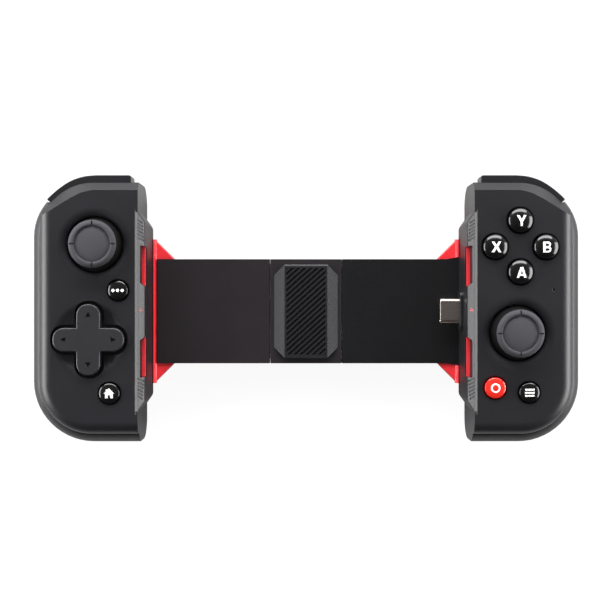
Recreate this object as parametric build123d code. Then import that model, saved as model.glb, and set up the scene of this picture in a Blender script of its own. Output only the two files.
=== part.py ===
"""A mobile game controller: two grips joined by a bridge that stretches round a phone.

The controller lies on its back. X runs across it, Y towards the shoulder buttons and Z out of
its front face. Z = 0 is the surface that the backs of the grips rest on. All lengths are in
millimetres and all pieces stand where they sit with the bridge closed.

Both grips are made on the right (positive X), and the left one is the mirror image of its
own layout. Each grip rides on a sleeve that slides over one inner rail. A rack on each sleeve
meshes with a pinion in the middle of the bridge, so the two grips always move alike.
"""
from build123d import *
import os
from math import acos, atan, cos, degrees, pi, radians, sin, sqrt, tan

os.makedirs("parts", exist_ok=True)

RIGHT, LEFT = 1, -1

# Front view of a grip: its inner wall, width, length and corners.
grip_inner_x = 54.8
grip_width = 35.5
grip_length = 85.4
grip_foot_share = 0.51405
back_outer_x = grip_inner_x + grip_width
back_low_y = -grip_foot_share * grip_length
grip_head_y = back_low_y + grip_length
back_low_r_share = 0.56338
back_head_r_share = 0.49296
back_low_r = grip_width * back_low_r_share
back_head_r = grip_width * back_head_r_share
shell_step = 3.9
front_outer_x = back_outer_x - shell_step
front_low_y = back_low_y + shell_step
front_low_r = back_low_r - shell_step
side_turn_drop = 4.0
side_turn_share = 0.30986
side_turn_angle = 40.0
head_turn_share = 0.48732
head_turn_angle = 48.0
front_side_turn = (grip_head_y - side_turn_drop, grip_width * side_turn_share, side_turn_angle)
front_head_turn = (grip_head_y, grip_width * head_turn_share, head_turn_angle)
form_reach = back_low_r

# Levels and walls of the two shells.
seam_z = 25.5
front_height = 5.5
face_z = seam_z + front_height
shell_wall = 1.8
face_wall = 2.0
head_chamfer = 2.8

# Round foot of a back shell and its round shoulder below the seam; the shares go down or up.
back_foot_inset = 7.0
back_foot_height = 10.0
back_foot_shares = ((1.0, 0.0), (0.486, 0.16), (0.129, 0.56), (0.0, 1.0))
back_shoulder_inset = 3.4
back_shoulder_height = 5.0
back_shoulder_shares = ((0.0, 0.0), (0.382, 0.7), (1.0, 1.0))
cavity_foot_step = 0.4
cavity_foot_height = 8.0
cavity_top_height = 6.0

# Rolled side and foot of a front shell: shares of its inset and of its drop below the face.
roll_inset = 3.2
roll_height = 3.2
roll_shares = ((0.0, 1.0), (0.3125, 0.3125), (1.0, 0.0))

# Clearances.
slide_gap = 0.3
stop_gap = 0.2
button_gap = 0.35
dpad_gap = 1.0
journal_gap = 0.06
rest_gap = 0.05
seat_gap = 0.1

# The wing that the phone's end leans on.
bridge_y = -0.8
wing_root_step = 1.0
wing_edge_reach = 2.1
wing_edge_drop = 3.5
wing_foot_reach = 3.2
wing_flat_reach = 2.8
wing_foot_z = 11.5
wing_half_root = 33.9
wing_flat_share = 0.8407
wing_slot_reach = (2.3, 0.4)
wing_slot_drop = 6.4
wing_slot_shares = (0.239, 0.637)
wing_slot_cut = 0.9
wing_half_flat = wing_half_root * wing_flat_share
wing_root_x = grip_inner_x + wing_root_step
wing_edge_x = grip_inner_x - wing_edge_reach
wing_edge_z = face_z - wing_edge_drop
wing_foot_x = grip_inner_x - wing_foot_reach
wing_flat_x = grip_inner_x - wing_flat_reach
wing_slot_x = (grip_inner_x - wing_slot_reach[0], grip_inner_x - wing_slot_reach[1])
wing_slot_y = (wing_half_root * wing_slot_shares[0], wing_half_root * wing_slot_shares[1])
wing_slot_z = face_z - wing_slot_drop

# Half the bridge's width, and the red bracket between the sleeve and the grip.
bridge_half = 17.6
bracket_gap = 0.15
bracket_foot_reach = 6.35
bracket_tip_step = 0.4
bracket_wide_step = 6.7
bracket_z = (2.4, 10.8)
bracket_flare_steps = ((1.15, 0.0), (0.6, 0.3), (0.2, 1.0), (0.0, 2.1), (0.0, 0.0))
bracket_blade_step = 5.5
bracket_blade_drop = 5.1
bracket_tip_half = bridge_half + bracket_tip_step
bracket_wide_half = bridge_half + bracket_wide_step
bracket_wide_x = wing_foot_x - bracket_gap
bracket_tip_x = bracket_wide_x - bracket_foot_reach
bracket_flare = [(bracket_wide_x - dx, bracket_z[1] + dz) for dx, dz in bracket_flare_steps]
bracket_blade_x = (wing_edge_x + seat_gap, grip_inner_x - seat_gap)
bracket_blade_half = bridge_half + bracket_blade_step
bracket_blade_z = face_z - bracket_blade_drop
wing_pocket_x = wing_edge_x
wing_pocket_z = bracket_blade_z + slide_gap
wing_pocket_half = bracket_blade_half + slide_gap

# Sleeves, rail and centre housing of the bridge.
sleeve_z = (4.0, 11.5)
sleeve_roof = 1.1
sleeve_floor = 1.0
sleeve_side = 1.2
sleeve_end_step = 1.25
sleeve_tongue = 9.2
sleeve_tongue_drop = 0.6
sleeve_spread = 0.7
sleeve_spread_length = 4.0
rail_reach = 21.2
rail_wall = 1.2
sleeve_inner_z = (sleeve_z[0] + sleeve_floor, sleeve_z[1] - sleeve_roof)
sleeve_inner_half = bridge_half - sleeve_side
sleeve_left_end = bracket_wide_x - sleeve_end_step
sleeve_right_end = bracket_wide_x + rest_gap
sleeve_tongue_end = grip_inner_x + sleeve_tongue
sleeve_tongue_z = sleeve_z[1] - sleeve_tongue_drop
rail_end = grip_inner_x + rail_reach
rail_half = sleeve_inner_half - slide_gap
rail_z = (sleeve_inner_z[0] + slide_gap, sleeve_inner_z[1] - slide_gap)
housing_half_x = 12.05
housing_rim = 0.6
housing_z = (sleeve_z[0] - housing_rim, sleeve_z[1] + seat_gap)

# Rubber pad on the centre housing.
pad_edge = 1.3
pad_end_edge = 1.8
pad_corner = 3.6
pad_flat_share = 0.67
pad_shoulder = 0.6
pad_height = 1.8
pad_half = (housing_half_x - pad_edge, bridge_half - pad_end_edge)
pad_flat_half = pad_half[0] * pad_flat_share
pad_shoulder_z = housing_z[1] + pad_shoulder
pad_z = housing_z[1] + pad_height

# Rack and pinion.
gear_module = 0.8
gear_tooth_count = 12
gear_pressure = 25.0
gear_backlash = 0.12
gear_width = 2.4
gear_flank_count = 3
gear_tip_share = 0.9
gear_root_share = 1.15
gear_bore_r = 1.5
pinion_pin_r = gear_bore_r - journal_gap
pinion_seat_r = 2.6
pinion_seat_height = 0.35
pinion_seat_z = rail_z[0] + rail_wall + pinion_seat_height
gear_z = (pinion_seat_z + rest_gap, pinion_seat_z + rest_gap + gear_width)
rack_z = (gear_z[0] - seat_gap, gear_z[1] + seat_gap)
rack_back = 10.2
rack_tail = 5.2
rack_nose_share = 0.7336
rack_before_count = 15
rack_after_count = 2
rack_boss_inset = (10.0, 2.0)
rack_tail_x = grip_inner_x + rack_tail
rack_nose_x = -grip_inner_x * rack_nose_share
rack_boss_x = (rack_tail_x - rack_boss_inset[0], rack_tail_x - rack_boss_inset[1])
rack_boss_y = (5.6, 9.8)

# Return springs inside the rail.
spring_y = 12.8
spring_r = 1.6
spring_post_r = 0.9
spring_post_height = 2.8
spring_post_inset = (1.95, 7.8)
spring_z = (rail_z[0] + rail_wall + rail_z[1]) / 2
spring_post_x = (housing_half_x + spring_post_inset[0], grip_inner_x - spring_post_inset[1])
spring_post_z = (spring_z - spring_post_height / 2, spring_z + spring_post_height / 2)

# Posts and circuit board in each grip; places are shares of the grip's width and length.
post_shares = ((0.1099, 0.8724), (0.738, 0.8513), (0.1296, 0.11), (0.6958, 0.1628))
post_half = 1.9
board_inset = (2.8, 6.3)
board_end_shares = (0.0808, 0.09719)
board_level = 19.0
board_thickness = 1.2
board_r_share = 0.55
board_r = back_low_r * board_r_share
board_x = (grip_inner_x + board_inset[0], back_outer_x - board_inset[1])
board_y = (back_low_y + board_end_shares[0] * grip_length, grip_head_y - board_end_shares[1] * grip_length)
board_z = (board_level, board_level + board_thickness)

# Thumb sticks.
stick_left_shares = (0.3972, 0.7611)
stick_right_shares = (0.4, 0.4227)
stick_pivot_height = 1.8
stick_pivot_z = board_z[1] + stick_pivot_height
stick_well_r = 9.25
stick_rim_step = 1.75
stick_rim_depth = 1.0
module_half = 6.6
module_wall = 1.4
module_drop = (6.5, 5.4)
module_rise = 3.0
module_cavity_half = module_half - module_wall
module_z = (stick_pivot_z - module_drop[0], stick_pivot_z - module_drop[1], stick_pivot_z + module_rise)
yoke_gap = 0.45
yoke_half = module_cavity_half - yoke_gap
yoke_half_z = 1.3
yoke_open = (3.6, 3.2)
yoke_pin_r = 1.0
yoke_pin_reach = module_half - stop_gap
pivot_hub_half = 2.3
pivot_pin_r = 0.9
pivot_pin_reach = 4.5
spindle_half = 1.3
spindle_height = 13.3
spindle_top_z = stick_pivot_z + spindle_height
cap_height = 7.0
cap_z = face_z + cap_height
cap_bore_step = 0.5
cap_bore_drop = 9.0
cap_bore_z = (cap_z - cap_bore_drop, spindle_top_z + cap_bore_step)
cap_sleeve_half = 2.2
cap_side_count = 30
cap_skirt_side_count = 20
cap_r = 7.75
cap_rim_r = 7.0
cap_lip_r = 5.85
cap_dish_r = 5.0
cap_edge_drop = (0.8, 2.5)
cap_dish_depth = 0.9
cap_stalk_r = 4.2
cap_skirt_r = 10.6
cap_skirt_height = 6.4
cap_skirt_drop = 5.7
cap_skirt_wall = 0.8
cap_skirt_roof = 0.9
cap_skirt_shares = ((0.406, 0.0), (0.698, 0.281), (0.896, 0.656), (1.0, 1.0))
cap_skirt_inner_shares = ((0.245, 0.0), (0.694, 0.291), (0.898, 0.655), (1.0, 1.0))

# Direction pad.
dpad_shares = (0.4479, 0.3981)
dpad_span = 11.6
dpad_arm = 3.85
dpad_arm_r = 3.4
dpad_height = 2.2
dpad_body_height = 5.6
dpad_edge = 0.5
dpad_flange_grow = 1.3
dpad_flange_reach = 1.2
dpad_flange_thickness = 0.9
dpad_dish_grow = 0.8
dpad_dish_depth = 0.8
dpad_pivot_height = 4.0
dpad_ball_r = 1.7
dpad_pin_r = 0.8
dpad_pin_reach = 3.5
dpad_lug = (2.5, 3.6, 1.5)
dpad_lug_rise = 1.2
dpad_nub_inset = 2.6
dpad_nub_half = 1.0
dpad_nub_drop = 1.0
dpad_z = (face_z + dpad_height - dpad_body_height, face_z + dpad_height)
dpad_flange_z = dpad_z[0] - dpad_flange_thickness
dpad_dish_r = dpad_span + dpad_dish_grow
dpad_pivot_z = board_z[1] + dpad_pivot_height
dpad_lug_top = dpad_pivot_z + dpad_lug_rise
dpad_lug_foot = dpad_pivot_z - dpad_lug_rise
dpad_nub_at = dpad_span - dpad_nub_inset
dpad_nub_z = dpad_pivot_z - dpad_nub_drop

# Push buttons: place in shares of the grip's width and length, and form as the radius, with the
# height of its edge and of its top above the face.
letter_form = (3.95, 1.1, 2.5)
sign_form = (3.25, 0.7, 1.5)
button_view = ((0.18028, 0.58548), sign_form)
button_home = ((0.25915, 0.19321), sign_form)
button_y = ((0.41831, 0.85246), letter_form)
button_x = ((0.18873, 0.75234), letter_form)
button_b = ((0.65352, 0.75176), letter_form)
button_a = ((0.41972, 0.65574), letter_form)
button_app = ((0.18873, 0.21429), sign_form)
button_menu = ((0.50141, 0.19672), sign_form)
button_side_count = 24
crown_share = 0.68
button_ear = (0.9, 1.4)
button_ear_drop = 1.2
button_stem_half = 1.2
button_travel = 1.0
switch_half = 2.1
switch_height = 1.3
switch_dot = (0.9, 0.7)
indicator_shares = (0.7268, 0.5878)
indicator_r = 0.45
indicator_z = face_z - rest_gap

# Bumpers.
bumper_centre_shares = (0.4, 0.7717)
bumper_rise = 2.4
bumper_thickness = 4.5
bumper_end_angle = 42.0
bumper_end_inset = 2.5
bumper_bevel = 0.9
bumper_drop = (14.0, 3.1)
bumper_lug_inset = (6.0, 6.5)
bumper_pivot_inset = (4.2, 4.4)
bumper_stud_r = 0.9
bumper_stud_drop = (15.5, 1.4)
bumper_nub_reach = (2.5, 5.5)
bumper_nub_gap = 1.1
bumper_nub_rise = (0.6, 2.4)
bumper_room = 1.1
bumper_window_step = 0.5
bumper_window_depth = 9.2
ledge_thickness = 1.5
ledge_depth = (7.9, 1.6)
side_switch_reach = (3.0, 7.0)
side_switch_depth = (3.0, 0.3)
side_switch_height = 2.8
stud_boss_half = 1.9
bumper_centre = (grip_inner_x + bumper_centre_shares[0] * grip_width,
                 back_low_y + bumper_centre_shares[1] * grip_length)
bumper_outer_r = grip_head_y + bumper_rise - bumper_centre[1]
bumper_inner_r = bumper_outer_r - bumper_thickness
bumper_end_x = grip_inner_x + bumper_end_inset
bumper_z = (face_z - bumper_drop[0], face_z - bumper_drop[1])
bumper_lug = (grip_inner_x + bumper_lug_inset[0], grip_head_y - bumper_lug_inset[1])
bumper_pivot = (grip_inner_x + bumper_pivot_inset[0], grip_head_y - bumper_pivot_inset[1])
bumper_stud_z = (face_z - bumper_stud_drop[0], face_z - bumper_stud_drop[1])
bumper_window_z = face_z - head_chamfer
bumper_window_x = bumper_end_x - bumper_window_step
bumper_window_y = grip_head_y - bumper_window_depth
ledge_z = (bumper_z[0] - slide_gap - ledge_thickness, bumper_z[0] - slide_gap)

# Triggers: side view in shares of the depth from the back and of the height from the foot.
trigger_inset = (6.2, 6.3)
trigger_rise = 2.0
trigger_depth = 8.9
trigger_height = 10.8
trigger_top_gap = 0.4
trigger_shares = ((0.3258, 1.0), (1.0, 1.0), (0.9775, 0.6944), (0.8989, 0.4074), (0.7528, 0.1667),
                  (0.5393, 0.0093), (0.2022, 0.0), (0.1798, 0.3704), (0.0, 0.5926), (0.0, 0.9815))
trigger_pivot_inset = 7.0
trigger_pivot_drop = 2.8
trigger_barrel_r = 2.2
trigger_pin_r = 1.0
trigger_lug = (1.5, 10.1, 3.3)
trigger_window_z = 2.5
trigger_window_depth = 9.9
trigger_spring_reach = 3.0
trigger_spring_depth = 9.3
trigger_spring_z = 6.0
trigger_spring_r = 1.9
spring_wall_thickness = 1.6
trigger_x = (grip_inner_x + trigger_inset[0], back_outer_x - trigger_inset[1])
trigger_face_r = bumper_outer_r - slide_gap
trigger_back_y = grip_head_y + trigger_rise - trigger_depth
trigger_foot_z = ledge_z[0] - trigger_top_gap - trigger_height
trigger_profile = [(trigger_back_y + trigger_depth * dy, trigger_foot_z + trigger_height * dz)
                   for dy, dz in trigger_shares]
trigger_pivot = (grip_head_y - trigger_pivot_inset, ledge_z[0] - trigger_pivot_drop)
trigger_window_y = grip_head_y - trigger_window_depth
trigger_spring_x = bumper_centre[0] + trigger_spring_reach
trigger_spring_y = grip_head_y - trigger_spring_depth
spring_wall_y = (trigger_spring_y - spring_wall_thickness, trigger_spring_y)

# Phone plug and its base.
plug_step = 0.2
plug_y = bridge_y + plug_step
plug_z = 16.9
plug_shell = (8.25, 2.4)
plug_wall = 0.32
plug_length = 10.15
plug_end_step = 0.2
plug_end_x = grip_inner_x + plug_end_step
plug_tip_x = plug_end_x - plug_length
plug_cavity = 5.2
plug_insert = (6.2, 0.5)
plug_base_half = (6.4, 3.9)
plug_base_reach = (0.4, 2.6)
plug_base_x = (wing_foot_x - plug_base_reach[0], grip_inner_x + plug_base_reach[1])
plug_base_round = 1.6

# Charging socket under the right grip.
port_share = 0.32958
port_z = 17.2
port_shell = (8.94, 3.26)
port_wall = 0.3
port_inset = 0.6
port_length = 7.3
port_depth = 6.2
port_tongue = (6.4, 0.7)
port_pocket = (14.0, 8.4)
port_pocket_depth = 0.4
port_x = grip_inner_x + port_share * grip_width
port_y = (back_low_y + port_inset, back_low_y + port_inset + port_length)


def block(x0, x1, y0, y1, z0, z1):
    """Box between two opposite corners."""
    return Pos((x0 + x1) / 2, (y0 + y1) / 2, (z0 + z1) / 2) * Box(x1 - x0, y1 - y0, z1 - z0)


def rod(x, y, z0, z1, r):
    """Upright round rod."""
    return Pos(x, y, (z0 + z1) / 2) * Cylinder(r, z1 - z0)


def rod_x(x0, x1, y, z, r):
    """Round rod along X."""
    return Pos((x0 + x1) / 2, y, z) * Rot(0, 90, 0) * Cylinder(r, x1 - x0)


def rod_y(x, y0, y1, z, r):
    """Round rod along Y."""
    return Pos(x, (y0 + y1) / 2, z) * Rot(90, 0, 0) * Cylinder(r, y1 - y0)


def prism(points, z0, z1):
    """Upright prism on an (x, y) outline."""
    base = Face(Wire.make_polygon([(x, y, z0) for x, y in points], close=True))
    return extrude(base, amount=z1 - z0, dir=(0, 0, 1))


def prism_x(points, x0, x1):
    """Prism along X on a (y, z) outline."""
    base = Face(Wire.make_polygon([(x0, y, z) for y, z in points], close=True))
    return extrude(base, amount=x1 - x0, dir=(1, 0, 0))


def prism_y(points, y0, y1):
    """Prism along Y on an (x, z) outline."""
    base = Face(Wire.make_polygon([(x, y0, z) for x, z in points], close=True))
    return extrude(base, amount=y1 - y0, dir=(0, 1, 0))


def turned(points, x, y):
    """Solid turned from an (r, z) outline about the upright axis at (x, y)."""
    outline = Face(Wire.make_polygon([(r, 0, z) for r, z in points], close=True))
    return Pos(x, y, 0) * revolve(outline, Axis.Z)


def post(x, y, z0, z1):
    """Upright square post for a screw."""
    return block(x - post_half, x + post_half, y - post_half, y + post_half, z0, z1)


def at_share(shares):
    """Place on a grip, from shares of its width and its length."""
    return grip_inner_x + shares[0] * grip_width, back_low_y + shares[1] * grip_length


def on_side(shape, side):
    """The shape itself on the right, its mirror image on the left."""
    if side == RIGHT:
        return shape
    return mirror(shape, about=Plane.YZ)


def edge_near(shape, x, y, z):
    """Edge whose middle is nearest to a point."""
    return shape.edges().sort_by_distance((x, y, z))[0]


def arc_between(cx, cy, r, first, last):
    """Arc about a centre from one angle to another."""
    ends = [(cx + r * cos(a), cy + r * sin(a)) for a in (first, (first + last) / 2, last)]
    return ThreePointArc(*ends)


def grip_outline(x_in, x_out, y_low, y_top, r_low, r_top):
    """Front view outline of a grip: square on the phone side, round on the outer side."""
    lx, ly = x_out - r_low, y_low + r_low
    tx, ty = x_out - r_top, y_top - r_top
    return make_face([
        Line((x_in, y_low), (lx, y_low)),
        arc_between(lx, ly, r_low, -pi / 2, 0),
        Line((x_out, ly), (x_out, ty)),
        arc_between(tx, ty, r_top, 0, pi / 2),
        Line((tx, y_top), (x_in, y_top)),
        Line((x_in, y_top), (x_in, y_low)),
    ])


def foot_form(x_in, x_out, y_low, r_low, y_end):
    """Outline with the round foot corner only; its side runs straight on past the head."""
    lx, ly = x_out - r_low, y_low + r_low
    return make_face([
        Line((x_in, y_low), (lx, y_low)),
        arc_between(lx, ly, r_low, -pi / 2, 0),
        Line((x_out, ly), (x_out, y_end)),
        Line((x_out, y_end), (x_in, y_end)),
        Line((x_in, y_end), (x_in, y_low)),
    ])


def side_form(x_in, x_out, y_low, turn):
    """Outline whose side turns in at the head corner and then runs straight on."""
    top, r, angle = turn
    last = radians(angle)
    cx, cy = x_out - r, top - r
    bx, by = cx + r * cos(last), cy + r * sin(last)
    ex, ey = bx - form_reach * sin(last), by + form_reach * cos(last)
    low = y_low - form_reach
    return make_face([
        Line((x_in, low), (x_out, low)),
        Line((x_out, low), (x_out, cy)),
        arc_between(cx, cy, r, 0, last),
        Line((bx, by), (ex, ey)),
        Line((ex, ey), (x_in, ey)),
        Line((x_in, ey), (x_in, low)),
    ])


def head_form(x_in, x_out, y_low, turn):
    """Outline whose head turns down at the corner and then runs straight on."""
    top, r, angle = turn
    first = radians(angle)
    cx, cy = x_out - r, top - r
    bx, by = cx + r * cos(first), cy + r * sin(first)
    ex, ey = bx + form_reach * sin(first), by - form_reach * cos(first)
    low = y_low - form_reach
    return make_face([
        Line((x_in, low), (ex, low)),
        Line((ex, low), (ex, ey)),
        Line((ex, ey), (bx, by)),
        arc_between(cx, cy, r, first, pi / 2),
        Line((cx, top), (x_in, top)),
        Line((x_in, top), (x_in, low)),
    ])


def raised(face, z0, z1):
    """Upright prism on a flat outline between two levels."""
    return extrude(Pos(0, 0, z0) * face, amount=z1 - z0, dir=(0, 0, 1))


def roll_sections():
    """Levels of a front shell's rolled side and foot with their inset, from the seam up."""
    rolled = [(face_z - roll_height * drop, roll_inset * inset) for inset, drop in roll_shares]
    return [(seam_z, 0)] + rolled


def front_body():
    """Outside of a front shell: rolled side and foot, and a crisp chamfer along the head."""
    far = grip_head_y + form_reach
    rolled = loft([Pos(0, 0, z) * foot_form(grip_inner_x, front_outer_x - inset, front_low_y + inset,
                                            front_low_r - inset, far)
                   for z, inset in roll_sections()], ruled=True)
    side = raised(side_form(grip_inner_x, front_outer_x, front_low_y, front_side_turn), seam_z, face_z)
    head = raised(head_form(grip_inner_x, front_outer_x, front_low_y, front_head_turn), seam_z, face_z)
    head = chamfer(edge_near(head, grip_inner_x + head_chamfer, grip_head_y, face_z), head_chamfer)
    return rolled & side & head


def back_sections():
    """Levels of a back shell with the inset of its side and foot, and that of its head."""
    foot = [(back_foot_height * rise, back_foot_inset * inset, back_foot_inset * inset)
            for inset, rise in back_foot_shares]
    low = seam_z - back_shoulder_height
    shoulder = [(low + back_shoulder_height * rise, back_shoulder_inset * inset, 0)
                for inset, rise in back_shoulder_shares]
    return foot + shoulder


def cavity_sections():
    """Levels of the space inside a back shell with its insets."""
    foot = back_foot_inset + cavity_foot_step
    return [(shell_wall, foot, foot), (cavity_foot_height, shell_wall, shell_wall),
            (seam_z - cavity_top_height, shell_wall, shell_wall),
            (seam_z, back_shoulder_inset + shell_wall, shell_wall)]


def back_form(sections, x_in):
    """Loft through outlines of a grip at several levels, each with its own insets."""
    return loft([Pos(0, 0, z) * grip_outline(x_in, back_outer_x - side, back_low_y + side,
                                             grip_head_y - head, back_low_r - side, back_head_r - head)
                 for z, side, head in sections], ruled=True)


def front_cavity():
    """Space inside a front shell, behind the face."""
    wall = face_wall
    head = grip_head_y - wall
    plan = grip_outline(grip_inner_x + shell_wall, front_outer_x - wall, front_low_y + wall, head,
                        front_low_r - wall, front_head_turn[1] - wall)
    return raised(plan, seam_z, face_z - wall)


def wing_prism(inset, x_in, x_out, z0, z1):
    """Plan shape of the wing: a long flat with slanted ends, about the bridge's middle line."""
    slope = (wing_half_root - wing_half_flat) / (wing_root_x - wing_flat_x)
    wide = wing_half_root + slope * (x_out - wing_root_x) - inset
    flat = wing_half_flat - inset
    narrow_x = x_in - face_wall
    points = ((narrow_x, bridge_y - flat), (wing_flat_x, bridge_y - flat), (x_out, bridge_y - wide),
              (x_out, bridge_y + wide), (wing_flat_x, bridge_y + flat), (narrow_x, bridge_y + flat))
    return prism(points, z0, z1)


def wing():
    """Wing on the phone side of a front shell, with two slanted windows in its bevel."""
    inside_x = grip_inner_x + shell_wall
    behind_x = grip_inner_x - rest_gap
    profile = ((inside_x, face_z), (wing_root_x, face_z), (wing_edge_x, wing_edge_z),
               (wing_foot_x, wing_foot_z), (behind_x, wing_foot_z), (behind_x, seam_z),
               (inside_x, seam_z))
    solid = prism_y(profile, bridge_y - wing_half_root * 2, bridge_y + wing_half_root * 2)
    solid = solid & wing_prism(0, wing_foot_x, inside_x, wing_foot_z, face_z)
    pocket = block(wing_pocket_x, behind_x + rest_gap, bridge_y - wing_pocket_half,
                   bridge_y + wing_pocket_half, wing_foot_z - rest_gap, wing_pocket_z)
    solid -= pocket
    for way in (1, -1):
        solid -= wing_slot(way)
    return solid


def wing_slot(way):
    """Cutter for one window of the wing; its end towards the middle is slanted."""
    x0, x1 = wing_slot_x
    near, far = wing_slot_y
    near_y, far_y = bridge_y + way * near, bridge_y + way * far
    slant = near_y + way * wing_slot_cut
    return prism(((x0, slant), (x1, near_y), (x1, far_y), (x0, far_y)), wing_slot_z, face_z)


def bumper_window(z0, z1):
    """Opening for a bumper in the head wall; its outer end runs along the bumper's own end."""
    end = radians(bumper_end_angle)
    cx = bumper_centre[0] + bumper_room * sin(end)
    cy = bumper_centre[1] - bumper_room * cos(end)
    low, high = bumper_window_y, grip_head_y + bumper_rise
    plan = [(bumper_window_x, low), (cx + (low - cy) / tan(end), low),
            (cx + (high - cy) / tan(end), high), (bumper_window_x, high)]
    return prism(plan, z0, z1)


def front_shell(side, sticks, buttons, pad):
    """Front shell with its face openings, bosses and wing."""
    inside_z = face_z - face_wall
    shell = front_body() - front_cavity()
    for x, y in map(at_share, post_shares):
        shell += post(x, y, board_z[1], inside_z)
    boss = stud_boss_half
    px, py = bumper_pivot
    shell += block(px - boss, px + boss, py - boss, py + boss, bumper_window_z, inside_z)
    shell -= bumper_window(seam_z - rest_gap, bumper_window_z)
    shell -= rod(bumper_pivot[0], bumper_pivot[1], bumper_window_z - rest_gap,
                 bumper_stud_z[1] + rest_gap, bumper_stud_r + journal_gap)
    for x, y in sticks:
        shell -= stick_well(x, y)
    for x, y, r in buttons:
        shell -= rod(x, y, seam_z, face_z + face_wall, r + button_gap)
    for x, y in pad:
        shell -= dpad_opening(x, y)
    if side == RIGHT:
        x, y = at_share(indicator_shares)
        shell -= rod(x, y, seam_z, face_z + face_wall, indicator_r)
    shell += wing()
    if side == RIGHT:
        shell -= plug_base_block(wing_foot_x - face_wall, grip_inner_x + face_wall)
    return on_side(shell, side)


def stick_well(x, y):
    """Round opening under a stick cap with a sloping rim."""
    hole = rod(x, y, seam_z, face_z + face_wall, stick_well_r)
    low = face_z - stick_rim_depth
    rim = Cone(stick_well_r, stick_well_r + stick_rim_step, face_z - low)
    return hole + Pos(x, y, (low + face_z) / 2) * rim


def dpad_cross(grow, z0, z1):
    """Cross with four round-ended arms, grown all round by a clearance."""
    reach, half = dpad_span + grow, dpad_arm + grow
    long_arm = RectangleRounded(2 * reach, 2 * half, dpad_arm_r)
    cross = long_arm + Rot(0, 0, 90) * long_arm
    return Pos(0, 0, z0) * extrude(cross, amount=z1 - z0, dir=(0, 0, 1))


def dpad_opening(x, y):
    """Round dished field and the cross-shaped opening for the direction pad."""
    floor = face_z - dpad_dish_depth
    spread = dpad_dish_depth * 2
    dish = Pos(x, y, (floor + face_z) / 2) * Cone(dpad_dish_r - spread, dpad_dish_r, face_z - floor)
    return dish + Pos(x, y, 0) * dpad_cross(dpad_gap, seam_z, face_z + face_wall)


def back_shell(side):
    """Back shell with screw posts, bumper ledge, trigger lugs and the openings for the bridge."""
    body = back_form(back_sections(), grip_inner_x)
    shell = body - back_form(cavity_sections(), grip_inner_x + shell_wall)
    for x, y in map(at_share, post_shares):
        shell += post(x, y, shell_wall, board_z[0])
    shell -= bumper_window(ledge_z[1], seam_z + rest_gap)
    shell -= trigger_window()
    shell += block(grip_inner_x + shell_wall, trigger_x[1], grip_head_y - ledge_depth[0],
                   grip_head_y - ledge_depth[1], ledge_z[0], ledge_z[1]) & body
    shell += trigger_lugs() & body
    shell += spring_wall()
    shell -= trigger_pin_rod()
    shell -= rod(bumper_pivot[0], bumper_pivot[1], ledge_z[0] - rest_gap, ledge_z[1] + rest_gap,
                 bumper_stud_r + journal_gap)
    shell -= block(grip_inner_x - rest_gap, grip_inner_x + shell_wall + rest_gap,
                   bridge_y - bridge_half, bridge_y + bridge_half, sleeve_z[0], sleeve_tongue_z)
    if side == RIGHT:
        shell -= plug_base_block(grip_inner_x - face_wall, plug_base_x[1])
        shell -= port_opening()
    return on_side(shell, side)


def trigger_window():
    """Opening for a trigger in the head wall."""
    x0 = trigger_x[0] - slide_gap
    x1 = trigger_x[1] + slide_gap
    return block(x0, x1, trigger_window_y, grip_head_y + face_wall, trigger_window_z, ledge_z[0])


def trigger_lugs():
    """Two lugs that hold the ends of the trigger pin."""
    thick, deep, near = trigger_lug
    y0, y1 = grip_head_y - deep, grip_head_y - near
    x0 = trigger_x[0] - slide_gap
    x1 = trigger_x[1] + slide_gap
    lugs = block(x0 - thick, x0, y0, y1, shell_wall, ledge_z[0])
    lugs += block(x1, x1 + thick, y0, y1, shell_wall, ledge_z[0])
    return lugs


def trigger_pin_rod():
    """Pin that a trigger turns on, held in both lugs."""
    y, z = trigger_pivot
    x0 = trigger_x[0] - slide_gap - trigger_lug[0]
    x1 = trigger_x[1] + slide_gap + trigger_lug[0]
    return rod_x(x0, x1, y, z, trigger_pin_r)


def spring_wall():
    """Upright rib behind a trigger that its spring pushes against."""
    reach = trigger_spring_r * 2
    return block(trigger_spring_x - reach, trigger_spring_x + reach, spring_wall_y[0],
                 spring_wall_y[1], shell_wall, trigger_spring_z + reach)


def bracket(side):
    """Red bracket: a tapered foot round the sleeve, a flared edge and a blade behind the wing."""
    z0, z1 = bracket_z
    wide = bridge_y - bracket_wide_half, bridge_y + bracket_wide_half
    tip = bridge_y - bracket_tip_half, bridge_y + bracket_tip_half
    foot = prism(((bracket_tip_x, tip[0]), (bracket_wide_x, wide[0]), (grip_inner_x, wide[0]),
                  (grip_inner_x, wide[1]), (bracket_wide_x, wide[1]), (bracket_tip_x, tip[1])), z0, z1)
    foot += prism_y(bracket_flare, wide[0], wide[1])
    x0, x1 = bracket_blade_x
    blade = block(x0, x1, bridge_y - bracket_blade_half, bridge_y + bracket_blade_half,
                  z1 - rest_gap, bracket_blade_z)
    foot += blade
    low, high = bridge_y - bridge_half, bridge_y + bridge_half
    foot -= block(bracket_tip_x - face_wall, grip_inner_x, low, high, sleeve_z[0], sleeve_tongue_z)
    end = sleeve_right_end if side == RIGHT else sleeve_left_end
    foot -= block(bracket_tip_x - face_wall, end, low, high, sleeve_z[0], face_z)
    if side == RIGHT:
        foot -= sleeve_spread_form(sleeve_z[0], face_z)
        foot -= plug_base_block(wing_foot_x - face_wall, grip_inner_x + face_wall)
    return on_side(foot, side)


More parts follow.
